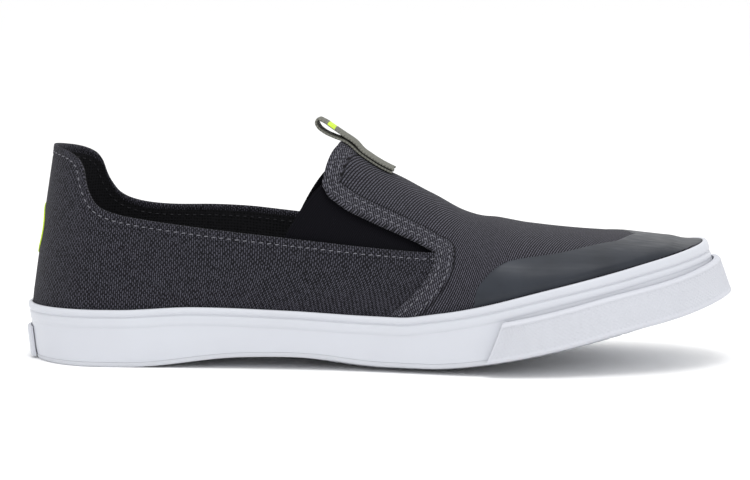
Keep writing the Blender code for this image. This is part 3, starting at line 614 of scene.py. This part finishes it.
topline, vampDense, rowStore = {}, {}, {}
for side in (lateral, medial):
    q, v = quarterTurns(side)
    topline[side] = lastPoint(q[-1], v[-1], side, 0.0)
    belt, flap = (lastPoint(q, v, side, vampGrow(q, v)) for q, v in (vampTurns(side), flapTurns(side)))
    vampDense[side] = denseLine(vampEdge(belt, flap, seamSpan.start))
collarDense = denseLine(np.vstack([topline[lateral][::-1], topline[medial][1:]]))


def storeRow(key, surface, past, place, normal):  # where the cloth's distance past a row of stitches is 0
    for a, b in ((np.s_[:, :-1], np.s_[:, 1:]), (np.s_[:-1], np.s_[1:])):
        cross = (past[a] * past[b] < 0) & (np.abs(place[a] - place[b]) < upper["rowJump"])
        t = (past[a][cross] / (past[a][cross] - past[b][cross]))[:, None]
        parts = [x[a][cross] * (1 - t) + x[b][cross] * t for x in (surface, normal, place[..., None])]
        rowStore.setdefault(key, []).append(np.hstack(parts))


rimWrap = np.linspace(0, upper["edgeWrap"], upper["edgeSteps"] + 1)
rimWrap = np.stack([np.zeros_like(rimWrap), rimWrap], -1)

# quarter panel, both sides in one round the heel
quarter = newSheet()
for side in (lateral, medial):
    q, v = quarterTurns(side)
    outer, inner = lastPoint(q, v, side, 0.0), lastPoint(q, v, side, -upper["wall"])
    normal = unit(outer - inner)
    gap, place = nearestOn(outer, collarDense)
    relief = hemRelief(gap, place, (upper["collarRow"],), upper["collarHem"], upper["collarHemRise"])
    relief += unevenness(outer) * ramp(gap, 0.0, upper["slackEdge"]) * ramp(v, 0.0, 0.12)
    outer = outer + normal * (relief * ramp(v, 0.0, 0.05))[..., None]
    uv = clothMap(side * lengthAlong(outer[8]), lengthAlong(outer))
    addGrid(quarter, outer, uv, 0)
    fold = 3  # rows of the inner skin that the folded canvas covers
    addGrid(quarter, inner[:-fold], uv[:-fold], 1)
    addGrid(quarter, inner[-fold - 1:], uv[-fold - 1:], 0)
    outward = softened(unit(outer[-1] - outer[-2]))
    outward[0] *= (1, 0, 1)
    addGrid(quarter, rimFrom(outer[-1], inner[-1], outward), uv[-1][:, None] + rimWrap, 0)
    joinSkins(quarter, outer, inner, uv, 0, 0, 1)
    joinSkins(quarter, outer, inner, uv, 1, -1, 1)
    above = slice(len(lowShares), None)
    storeRow("collar", outer[above], (gap - upper["collarRow"])[above], place[above], normal[above])
    gap, place = nearestOn(inner, denseLine(inner[-1]))
    past = gap - upper["bobbinRow"]
    storeRow("collarInside%d" % side, inner[above], past[above], place[above], -normal[above])
makePiece("quarterPanel", quarter, [quarterCanvas, liningCloth], ["upper"])

# vamp with its flap
vamp = newSheet()
for side in (lateral, medial):
    grids = {"belt": vampTurns(side), "flap": flapTurns(side)}
    skins = {}
    for key, (q, v) in grids.items():
        outer, inner = lastPoint(q, v, side, vampGrow(q, v)), lastPoint(q, v, side, -upper["wall"])
        normal = unit(outer - inner)
        near = [nearestOn(outer, vampDense[way]) for way in (lateral, medial)]
        gap = np.minimum(near[0][0], near[1][0])
        place = np.where(near[0][0] < near[1][0], near[0][1], near[1][1])
        blend = 1 - ramp(place, upper["seamEnd"], upper["seamEnd"] + upper["seamBlend"])
        rows = [a + (b - a) * blend for a, b in zip(upper["flapStitches"], upper["seamStitches"])]
        hem = upper["flapHem"] + (upper["seamHem"] - upper["flapHem"]) * blend
        relief = hemRelief(gap, place, rows, hem, upper["hemRise"])
        relief += unevenness(outer) * ramp(gap, hem, hem + upper["slackHem"]) * slackOf(v)
        outer = outer + normal * (relief * ramp(v, 0.0, 0.05))[..., None]
        girth = lengthAlong(outer)
        uv = clothMap(along(q), girth - girth[-1:])
        skins[key] = outer, inner, uv
        # the distance past the hem places the painted shadow in the hem's fold; finish 2 is the hem canvas,
        # whose lighter colour is partly painted light from above
        addGrid(vamp, outer, uv, np.where(gap[1:, 1:] < hem[1:, 1:], 2, 0).ravel(), (gap - hem) * 1000)
        addGrid(vamp, inner, uv, 1)
        above = slice(len(lowShares) if key == "belt" else 0, None)
        for k, row in enumerate(rows):
            storeRow("vamp%d%d" % (side, k), outer[above], (gap - row)[above], place[above], normal[above])
    edgeOut, edgeIn, edgeUv = (vampEdge(belt, flap) for belt, flap in zip(skins["belt"], skins["flap"]))
    beltOut, beltIn, beltUv = skins["belt"]
    flapOut = skins["flap"][0]
    seamOutward = unit(beltOut[:seamSpan.stop, 0] - beltOut[:seamSpan.stop, 1])
    lowOutward = unit(flapOut[0] - flapOut[1])[-2::-1]
    rearOutward = unit(flapOut[:, 0] - flapOut[:, 1])
    rearOutward[-1] *= (1, 0, 1)
    outward = softened(np.vstack([seamOutward, lowOutward, rearOutward[1:]]), 4)
    addGrid(vamp, rimFrom(edgeOut, edgeIn, outward), edgeUv[:, None] + rimWrap[:, ::-1], 2)
    joinSkins(vamp, beltOut, beltIn, beltUv, 0, 0, 1)
makePiece("vampPanel", vamp, [vampCanvas, liningCloth, hemCanvas], ["upper"])
print("upper made")


# stitches

stitch = {
    "length": 0.0021, "radius": 0.00023, "sink": 0.00016, "around": 6, "steps": 6,
    "lineStep": 0.0004, "lineWidth": 0.0009, "ahead": 0.0006, "jitter": 0.08, "jitterBeat": 7777.0,
}


def orderedRow(key):  # one smooth line through the stored crossings, by length
    found = np.vstack(rowStore[key])
    found = found[np.argsort(found[:, 6])]
    place = found[:, 6]
    at = np.arange(place[0], place[-1], stitch["lineStep"])
    low, high = (np.searchsorted(place, at + reach) for reach in (-stitch["lineWidth"], stitch["lineWidth"]))
    total = np.vstack([np.zeros(6), np.cumsum(found[:, :6], axis=0)])
    kept = high > low
    mean = (total[high] - total[low])[kept] / (high - low)[kept, None]
    return mean[:, :3], unit(mean[:, 3:])


def addStitches(sheet, key, size=1.0, tilt=0.0):
    # a capsule that dips into the cloth at both ends, copied along a row, a little unevenly as if fed by hand
    points, normals = orderedRow(key)
    run = lengthAlong(points)
    pitch = upper["stitchPitch"]
    at = np.arange(pitch / 2, run[-1] - pitch / 3, pitch)
    at = at + stitch["jitter"] * pitch * np.sin(at * stitch["jitterBeat"])
    centre, normal = sampleLine(at, run, points), sampleLine(at, run, normals)
    tangent = unit(sampleLine(at + stitch["ahead"], run, points) - centre)
    binormal = unit(np.cross(normal, tangent))
    tangent = unit(tangent * np.cos(tilt) + binormal * np.sin(tilt))
    binormal = unit(np.cross(normal, tangent))
    t = np.linspace(-1, 1, stitch["steps"] + 1)
    ring = np.linspace(0, 2 * np.pi, stitch["around"] + 1)
    radius = stitch["radius"] * size * np.sqrt(np.clip(1 - np.abs(t) ** 3, 0.0, 1.0))
    x = np.broadcast_to((t * stitch["length"] * size / 2)[:, None], (len(t), len(ring)))
    y = radius[:, None] * np.cos(ring)
    z = radius[:, None] * np.sin(ring) + (stitch["sink"] * (0.4 - t * t))[:, None]
    for c, a, b, n in zip(centre, tangent, binormal, normal):
        addGrid(sheet, c + x[..., None] * a + y[..., None] * b + z[..., None] * n)


seams = newSheet()
for key in ["collar"] + ["vamp%d%d" % (side, k) for side in (lateral, medial) for k in range(2)]:
    addStitches(seams, key, tilt=0.16)
makePiece("seamStitches", seams, [paleThread], sharp=80)
insideSeams = newSheet()
for side in (lateral, medial):
    addStitches(insideSeams, "collarInside%d" % side, size=0.9)
makePiece("bobbinStitches", insideSeams, [darkThread], sharp=80)


# elastic gussets

gore = {
    "thickness": 0.0010, "tuck": 0.0045, "cornerTuck": 0.0010, "reach": 0.0125, "gap": 0.0005,
    "hemRise": 0.00025, "hem": (0.0012, 0.0018), "grooveDepth": 0.0002, "groove": (0.0016, 0.0004),
    "edgeSteps": 6,
}
for name, side in (("goreLateral", lateral), ("goreMedial", medial)):
    part = np.linspace(0.0, 1.0, 60)
    rear = apex - upper["flapReach"]
    low = rear - gore["reach"] - gore["tuck"] + (apex - rear + gore["reach"] + 2 * gore["tuck"]) * part
    high = rear + gore["cornerTuck"] + (apex - rear + gore["tuck"] - gore["cornerTuck"]) * part
    back = np.clip((apex - high) / upper["flapReach"], 0.0, 1.0)
    start = shareOf(low, collarHeight(low, side) - gore["tuck"])
    end = shareOf(high, flapLow(back, side)[1] + gore["tuck"])
    rise = np.linspace(0.0, 1.0, 30)[:, None]
    q, v = turnOf(low + (high - low) * rise), start + (end - start) * rise
    depth = upper["wall"] + gore["gap"]
    outer = lastPoint(q, v, side, -depth)
    inner = lastPoint(q, v, side, -depth - gore["thickness"])
    fromRear = np.linalg.norm(outer - outer[:, :1], axis=-1)
    hemmed = gore["hemRise"] * (1 - ramp(fromRear, *gore["hem"]))
    hemmed = hemmed - gore["grooveDepth"] * hump(fromRear, *gore["groove"])
    outer = outer + unit(outer - inner) * hemmed[..., None]
    uv = clothMap(lengthAlong(outer[0]), lengthAlong(outer))
    sheet = newSheet()
    addGrid(sheet, outer, uv)
    addGrid(sheet, inner, uv)
    outward = 0.5 * unit(outer[:, 0] - outer[:, 1])
    rim = rimFrom(outer[:, 0], inner[:, 0], outward, gore["edgeSteps"])
    addGrid(sheet, rim, np.repeat(uv[:, :1], gore["edgeSteps"] + 1, 1))
    for axis, end in ((1, -1), (0, 0), (0, -1)):
        joinSkins(sheet, outer, inner, uv, axis, end)
    makePiece(name, sheet, [elasticCloth], ["gore_lateral" if side == lateral else "gore_medial"])


# toe film

film = {"start": 0.0470, "crest": 0.1220, "lift": 0.0004, "thickness": 0.0004, "gap": 0.0001, "sink": 0.0003}
# rear edge: share of the way up the section, and of its run from start to crest
filmRows = [(0.00, 0.000), (0.12, 0.030), (0.20, 0.095), (0.33, 0.280), (0.41, 0.570), (0.56, 0.800),
            (0.65, 0.900), (1.00, 1.000)]
sheet = newSheet()
for side in (lateral, medial):
    part = np.linspace(0.0, 1.0, 64)[:, None]
    run = spaced((0, 0.03, 8), (0.03, 1, 80))
    edge = turnOf(film["start"] + (film["crest"] - film["start"]) * smoothCurve(part, filmRows))
    q = edge + (1.0 - edge) * run
    u = along(q)
    start = shareOf(u, foxingTop(u) + np.minimum(film["lift"], riseOf(u, 0.0) / 2))
    v = start + (1 - start) * part
    grow = vampGrow(q, v) + film["gap"]
    skin = lastPoint(q, v, side, grow)
    edgeGap = np.linalg.norm(skin - skin[:, :1], axis=-1)
    thin = film["thickness"] * ramp(edgeGap, -0.0002, 0.0010) * ramp(heightOf(u, v), -0.0004, 0.0030)
    outer, inner = lastPoint(q, v, side, grow + thin), lastPoint(q, v, side, grow - film["sink"])
    outer = outer + unit(outer - inner) * (unevenness(outer) * slackOf(v))[..., None]
    uv = clothMap(along(q), lengthAlong(outer))
    addGrid(sheet, outer, uv)
    addGrid(sheet, inner, uv)
    joinSkins(sheet, outer, inner, uv, 1, 0)
    joinSkins(sheet, outer, inner, uv, 0, 0)
makePiece("toeFilm", sheet, [filmSkin], ["toe_film"])


# sole

sole = {
    "lift": 0.0023, "lip": 0.0030, "band": 0.0075, "treadEdge": 0.0008, "treadRound": 0.0012, "gap": 0.0003,
    "bumperProud": 0.0025, "bumperHeight": 0.0158, "bumperLift": 0.0006, "bumperChamfer": 0.0014,
    "bumperStart": 0.0515, "bumperRake": 0.0090, "bumperRakeRun": 0.0240, "bumperRound": 0.0008,
    "grainPitch": 0.0019, "grainDepth": 0.00042, "grainRim": 0.0008, "grainFoot": 0.0006, "grainFade": 0.0004,
    "patchLift": 0.0008, "patchWidth": 0.0300, "patchRound": 0.0013, "patchFade": 0.55,
}
ringTurns = spaced((0, 0.18, 60), (0.18, 0.75, 90), (0.75, 1, 100))


def wallProfile(u):  # insets and heights of the side wall, from its foot to its top
    low, top = archOf(u) + edgeLiftOf(u) + sole["lift"], foxingTop(u)
    lip = top - sole["lip"] * (1 + 0.5 * ramp(u, last["archEnd"], halfLength))
    band = top - sole["band"]
    rows = [  # inset in mm, the level it is measured from, and the height above that in mm
        (1.80, low, -0.25), (1.20, low, -0.25), (0.80, low, -0.22), (0.74, low, 0.2), (0.62, low, 1.2),
        (0.55, low, 3.5), (0.58, band, -1.2), (0.62, band, -0.4), (0.60, band, 0.0), (0.45, band, 0.25),
        (0.32, band, 0.6), (0.25, band, 1.4), (0.30, lip, -1.2), (0.42, lip, -0.75), (0.70, lip, -0.40),
        (0.82, lip, -0.15),
        (0.70, lip, 0.10), (0.32, lip, 0.32), (0.10, lip, 0.70), (0.00, lip, 1.4), (0.02, top, -1.1),
        (0.16, top, -0.62), (0.42, top, -0.26), (0.80, top, -0.06), (1.25, top, 0.0), (1.80, top, -0.05),
    ]
    inset = np.array([row[0] for row in rows]) * mm
    height = np.stack([row[1] + row[2] * mm for row in rows], -1)
    return np.broadcast_to(inset, height.shape), height


def solePoints(q, side, inset, height):
    plan = soleEdge(np.broadcast_to(np.asarray(q)[:, None], inset.shape), side, inset)
    return bendLast(np.concatenate([plan, height[..., None]], -1))


sheet = newSheet()
for side in (lateral, medial):
    inset, height = wallProfile(along(ringTurns))
    points = solePoints(ringTurns, side, inset, height)
    points = np.concatenate([points, points[:, :1]], 1)
    addGrid(sheet, points)
makePiece("sideWall", sheet, [wallRubber], ["foxing"], sharp=60)

# textured bumper round the toe: small pyramids in diagonal rows, inside a plain rim
bumperTurns = np.linspace(turnOf(sole["bumperStart"]), 1, 360)


def bumperPoints(q, side):
    u = along(q)
    low = archOf(u) + edgeLiftOf(u) + sole["bumperLift"]
    back = 1 - ramp(u, sole["bumperStart"], sole["bumperStart"] + sole["bumperRakeRun"])
    inner, outer = -sole["gap"], -sole["gap"] - sole["bumperProud"]
    face = sole["bumperHeight"] - sole["bumperChamfer"]
    r = sole["bumperRound"]
    lowRows = [(inner, 0.0), (outer + r, 0.0), (outer + 0.3 * r, 0.3 * r)]
    topRows = [(outer + 0.3 * r, face + 0.5 * r), (outer + r, face + r + 0.0004),
               (inner, sole["bumperHeight"])]
    heights = np.linspace(r, face, 40)
    inset = np.concatenate([[a for a, b in lowRows], np.full(40, outer), [a for a, b in topRows]])
    height = np.concatenate([[b for a, b in lowRows], heights, [b for a, b in topRows]])
    shifted = turnOf(u[:, None] + back[:, None] * sole["bumperRake"] * height / sole["bumperHeight"])
    shifted = np.where(q[:, None] >= 1, 1.0, shifted)
    flat = solePoints(q, side, np.broadcast_to(inset, shifted.shape), low[:, None] + height)
    run = lengthAlong(flat[:, 20])[:, None]
    fromTip = run[-1] - run
    a, b = (fromTip + height) / sole["grainPitch"], (fromTip - height) / sole["grainPitch"]
    peak = 1 - 2 * np.maximum(np.abs(a - np.round(a)), np.abs(b - np.round(b)))
    foot, rim, fade = r + sole["grainFoot"], sole["grainRim"], sole["grainFade"]
    inside = ramp(height, foot, foot + fade) * (1 - ramp(height, face - rim, face - rim + fade))
    inside = inside * ramp(run, rim, rim + fade)
    grain = sole["grainDepth"] * (peak - 1) * inside
    plan = soleEdge(shifted, side, inset - grain)
    return bendLast(np.concatenate([plan, (low[:, None] + height)[..., None]], -1))


sheet = newSheet()
for side in (lateral, medial):
    points = bumperPoints(bumperTurns, side)
    addGrid(sheet, np.concatenate([points, points[:, :1]], 1))
makePiece("toeBumper", sheet, [bumperRubber], ["toe_bumper"], sharp=65)

# plain plate on the back of the heel: how far its section stands out from the wall and its height, in mm
patchRows = [(0.3, 0.0), (1.2, 0.05), (1.8, 0.35), (2.0, 1.0), (2.0, 6.0), (2.0, 11.9), (1.8, 12.6),
             (1.2, 12.95), (0.3, 13.0)]
sheet = newSheet()
for side in (lateral, medial):
    fine = np.linspace(0, 0.2, 400)
    reach = np.interp(sole["patchWidth"] / 2 - sole["patchRound"], np.abs(edgePoint(fine, side)[:, 1]), fine)
    turns = np.linspace(0, reach, 24)
    fade = 1 - ramp(turns, reach * 0.93, reach * 1.02)[:, None] * sole["patchFade"]
    proud, height = np.array(patchRows).T * mm
    height = (archOf(along(turns)) + sole["patchLift"])[:, None] + height
    points = solePoints(turns, side, sole["gap"] - proud * fade, height)
    addGrid(sheet, np.concatenate([points, points[:, :1]], 1))
makePiece("heelPlate", sheet, [wallRubber], ["heel_patch"], sharp=65)

# tread and core
tread = {"pitch": 0.0056, "land": 0.30, "flank": 0.12, "depth": 0.0011, "zigzag": 0.0100, "zigzagRun": 0.0120,
         "rim": 0.0050, "rimFade": 0.0008, "curl": 0.15}
treadTurns = turnOf(np.linspace(-halfLength, halfLength, 330))
shares = np.linspace(0, 1, 96)
sheet = newSheet()
u = along(treadTurns)
low = archOf(u) + edgeLiftOf(u)


def crossLine(inset, height, where):  # points from the lateral to the medial edge at each turn
    start = soleEdge(treadTurns, lateral, np.full(len(u), inset))
    end = soleEdge(treadTurns, medial, np.full(len(u), inset))
    plan = start[:, None] + (end - start)[:, None] * np.asarray(where)[None, :, None]
    return bendLast(np.concatenate([plan, np.broadcast_to(height, plan.shape[:2])[..., None]], -1))


edgeShare = np.minimum(shares, 1 - shares)
curl = edgeLiftOf(u)[:, None] * (1 - np.clip(edgeShare / tread["curl"], 0, 1))
bottom = crossLine(sole["treadEdge"] + sole["treadRound"], archOf(u)[:, None] + curl, shares)
wave = bottom[..., 0] + tread["zigzag"] * np.abs((bottom[..., 1] / tread["zigzagRun"]) % 1 - 0.5)
groove = ramp(np.abs((wave / tread["pitch"]) % 1 - 0.5), tread["land"], tread["land"] + tread["flank"])
width = np.linalg.norm(bottom[:, -1] - bottom[:, 0], axis=-1)[:, None]
fromRim = np.minimum(edgeShare * width, halfLength - np.abs(u)[:, None])
bottom[..., 2] += tread["depth"] * groove * ramp(fromRim, tread["rim"], tread["rim"] + tread["rimFade"])
addGrid(sheet, bottom)
plate = low + sole["lift"] - sole["gap"]
edge = sole["treadEdge"]
for side in (lateral, medial):
    rows = [(edge + sole["treadRound"], low), (edge + 0.0007, low + 0.00005), (edge + 0.00035, low + 0.0002),
            (edge + 0.0001, low + 0.0006), (edge, low + 0.0011), (edge, plate), (last["cupInset"], plate),
            (last["cupInset"], platformOf(u))]
    inset = np.broadcast_to([row[0] for row in rows], (len(u), len(rows)))
    height = np.stack([row[1] for row in rows], -1)
    addGrid(sheet, solePoints(treadTurns, side, inset, height))
addGrid(sheet, crossLine(last["cupInset"], platformOf(u)[:, None], [0, 0.5, 1]))
makePiece("treadSole", sheet, [treadRubber], ["outsole"], sharp=40)

# foot bed
bed = {"thickness": 0.0035, "rim": 0.0015, "dish": 3, "round": 0.0008, "roundShare": 0.02}
shares = np.linspace(0, 1, 60)
inset = last["cupInset"] + upper["wall"] + sole["gap"]
floor = platformOf(u)[:, None] + sole["gap"]
rise = bed["rim"] * np.abs(2 * shares - 1) ** bed["dish"]
rise = rise - bed["round"] * (1 - ramp(np.minimum(shares, 1 - shares), 0.0, bed["roundShare"]))
sheet = newSheet()
topSide = crossLine(inset, floor + bed["thickness"] + rise, shares)
under = crossLine(inset, floor, shares)
addGrid(sheet, topSide)
addGrid(sheet, under)
for k in (0, -1):
    addGrid(sheet, np.stack([topSide[:, k], under[:, k]]))
makePiece("footBed", sheet, [bedCloth], ["insole"], sharp=40)
print("sole made")


# pull loop: one webbing strip folded, with both ends on the flap's crest

loop = {
    "width": 0.0125, "thickness": 0.0011, "lap": 0.0192, "peel": 0.0060, "reach": 0.0126, "rise": 0.0108,
    "flatten": 0.8, "gap": 0.0003, "blockStart": 0.0300, "blockLength": 0.0036,
    "ribHeight": 0.00004, "ribPitch": 0.0009,
}
# free part: shares of its reach behind the flap and of its rise above the flap's top
loopRows = [(-0.30, 0.12), (0.05, 0.40), (0.45, 0.70), (0.78, 0.93), (0.94, 0.99), (1.00, 0.86), (0.94, 0.69),
            (0.74, 0.50), (0.42, 0.34), (0.04, 0.19)]
rear = apex - upper["flapReach"] + upper["flapLean"]


def lyingLine(depth):  # on the crest, from the strip's front end to where it peels off
    u = np.linspace(rear + loop["lap"], rear + loop["peel"], 6)
    line = np.stack([u, foxingTop(u) + riseOf(u, upper["lap"])], -1)
    run = unit(np.gradient(line, axis=0))
    return line + depth * np.stack([run[:, 1], -run[:, 0]], -1)


def smoothPath(knots, count):  # cubic through the knots, its slopes from their neighbours
    run = lengthAlong(knots)
    slope = np.gradient(knots, run, axis=0)
    at = np.linspace(0, run[-1], count)
    i = np.clip(np.searchsorted(run, at) - 1, 0, len(run) - 2)
    step = (run[i + 1] - run[i])[:, None]
    return hermite(i, (at - run[i])[:, None] / step, step, knots, slope)


under = lyingLine(loop["gap"] + loop["thickness"] / 2)[::-1]
over = lyingLine(2 * loop["gap"] + 1.5 * loop["thickness"])
top = foxingTop(rear) + riseOf(rear, upper["lap"])
free = np.array([(rear - loop["reach"] * back, top + loop["rise"] * up) for back, up in loopRows])
path = smoothPath(np.vstack([over, free, under]), 220)
run = unit(np.gradient(path, axis=0))
out = np.stack([run[:, 1], -run[:, 0]], -1)
widest = np.abs(edgePoint(turnOf(path[:, 0]), lateral)[:, 1])
crown = np.sin(np.arccos(loop["width"] / 2 / widest)) ** last["sectionPower"]
sag = riseOf(path[:, 0], upper["lap"]) * (1 - crown)
sag = sag * (1 - loop["flatten"] * ramp(rear - path[:, 0], 0.0, loop["reach"]))
# section: a flat strip with rounded sides, as a superellipse
turn = np.linspace(0, 2 * np.pi, 49)
c, s = np.cos(turn), np.sin(turn)
across = np.sign(c) * np.abs(c) ** 0.25 * loop["width"] / 2
through = np.sign(s) * np.abs(s) ** 0.55 * loop["thickness"] / 2
length = lengthAlong(path)
ribs = loop["ribHeight"] * np.sin(2 * np.pi * length / loop["ribPitch"])[:, None] * np.abs(s)
x = path[:, 0, None] + out[:, 0, None] * through
z = path[:, 1, None] + out[:, 1, None] * through - sag[:, None] * (across / (loop["width"] / 2)) ** 2
points = bendLast(np.stack([x, spineOf(x) + across, z + ribs], -1))
uv = clothMap(across, length[:, None])
sheet = newSheet()
block = (length > loop["blockStart"]) & (length < loop["blockStart"] + loop["blockLength"])
cut = [0, int(np.argmax(block)), int(len(block) - np.argmax(block[::-1])), len(block)]
for k, finish in enumerate((0, 1, 0)):
    rows = slice(cut[k], min(cut[k + 1] + 1, len(block)))
    addGrid(sheet, points[rows, :25], uv[rows, :25], finish)
    addGrid(sheet, points[rows, 24:], uv[rows, 24:], 0)
makePiece("pullLoop", sheet, [strapCloth, limeThread], ["pull_loop"], sharp=65)


# plain oval of lime thread sewn on the heel

oval = {"height": 0.0549, "halfHeight": 0.0106, "halfWidth": 0.0115, "thread": 0.00026, "rows": 2,
        "rowPitch": 1.7, "proud": 0.0002, "twist": 0.25, "twists": 60}
turn = np.linspace(0, 2 * np.pi, 121)
fine = np.linspace(0, 0.25, 200)
sheet = newSheet()
for row in range(oval["rows"]):
    shrink = row * oval["rowPitch"] * oval["thread"]
    yWanted = (oval["halfWidth"] - shrink) * np.sin(turn)
    zWanted = oval["height"] + (oval["halfHeight"] - shrink) * np.cos(turn)
    # the turn and the share that give each point of the oval, first as if it lay on one side of the heel
    share = shareOf(np.full(len(turn), -halfLength), zWanted)
    skins = {}
    for side in (lateral, medial):
        reach = np.abs(lastPoint(fine, share[:, None], side, 0.0)[..., 1] - last["centre"][1])
        q = np.array([np.interp(wanted, line, fine) for wanted, line in zip(np.abs(yWanted), reach)])
        skins[side] = [lastPoint(q, share, side, grow) for grow in (0.0, -0.001)]
    path, inner = np.where((yWanted >= 0)[:, None], skins[medial], skins[lateral])
    normal = unit(path - inner)
    tangent = unit(np.gradient(path, axis=0))
    tangent[0] = tangent[-1] = unit(path[1] - path[-2])
    binormal = unit(np.cross(normal, tangent))
    ring = np.linspace(0, 2 * np.pi, 9)[None, :, None]
    beat = 1 + oval["twist"] * np.abs(np.sin(np.linspace(0, oval["twists"] * np.pi, len(turn))))
    section = np.cos(ring) * binormal[:, None] + np.sin(ring) * normal[:, None]
    points = path[:, None] + normal[:, None] * oval["proud"] + oval["thread"] * beat[:, None, None] * section
    points[-1] = points[0]
    addGrid(sheet, points)
makePiece("heelOval", sheet, [limeThread], sharp=80)
print("trims made")


# floor, light and camera

stage = {"target": (0.0, 0.0, 0.050), "azimuth": 5.5, "elevation": 6.0, "distance": 1.250, "lens": 140.9,
         "nudgeRight": -0.00064, "nudgeUp": 0.00064, "world": 1.0, "floorSize": 40.0}
floorMesh = bpy.data.meshes.new("paperFloor")
half = stage["floorSize"] / 2
corners = [(-half, -half, 0), (half, -half, 0), (half, half, 0), (-half, half, 0)]
floorMesh.from_pydata(corners, [], [(0, 1, 2, 3)])
floorPiece = bpy.data.objects.new("paperFloor", floorMesh)
bpy.context.scene.collection.objects.link(floorPiece)
paper = makeMaterial("seamlessPaper", "#ffffff", 0.9, 0.1)
floorMesh.materials.append(paper)

world = bpy.data.worlds.new("studio")
bpy.context.scene.world = world
world.use_nodes = True
background = world.node_tree.nodes["Background"]
background.inputs["Color"].default_value = (1, 1, 1, 1)
background.inputs["Strength"].default_value = stage["world"]

# softboxes: place, aim, size in metres, watts
boxRows = {
    "topBox": ((-0.10, 0.10, 1.60), (0, 0, 0.05), 1.6, 3.5),
    "frontBox": ((0.15, -0.60, 1.45), (0.05, 0, 0.05), 0.7, 8.0),
}
for name, (place, aim, size, power) in boxRows.items():
    light = bpy.data.lights.new(name, "AREA")
    light.shape = "SQUARE"
    light.size = size
    light.energy = power
    lamp = bpy.data.objects.new(name, light)
    lamp.location = place
    lamp.rotation_euler = (Vector(aim) - Vector(place)).to_track_quat("-Z", "Y").to_euler()
    bpy.context.scene.collection.objects.link(lamp)

azimuth, elevation = np.radians(stage["azimuth"]), np.radians(stage["elevation"])
away = Vector((np.sin(azimuth) * np.cos(elevation), -np.cos(azimuth) * np.cos(elevation), np.sin(elevation)))
right = Vector((np.cos(azimuth), np.sin(azimuth), 0.0))
upward = away.cross(right)
aim = Vector(stage["target"]) + right * stage["nudgeRight"] + upward * stage["nudgeUp"]
cameraData = bpy.data.cameras.new("camera")
cameraData.lens = stage["lens"]
cameraData.sensor_width = 36.0
cameraData.clip_end = 100.0
camera = bpy.data.objects.new("camera", cameraData)
camera.location = aim + away * stage["distance"]
camera.rotation_euler = (-away).to_track_quat("-Z", "Y").to_euler()
bpy.context.scene.collection.objects.link(camera)
bpy.context.scene.camera = camera
bpy.context.scene.view_settings.view_transform = "Standard"

print("stage set")
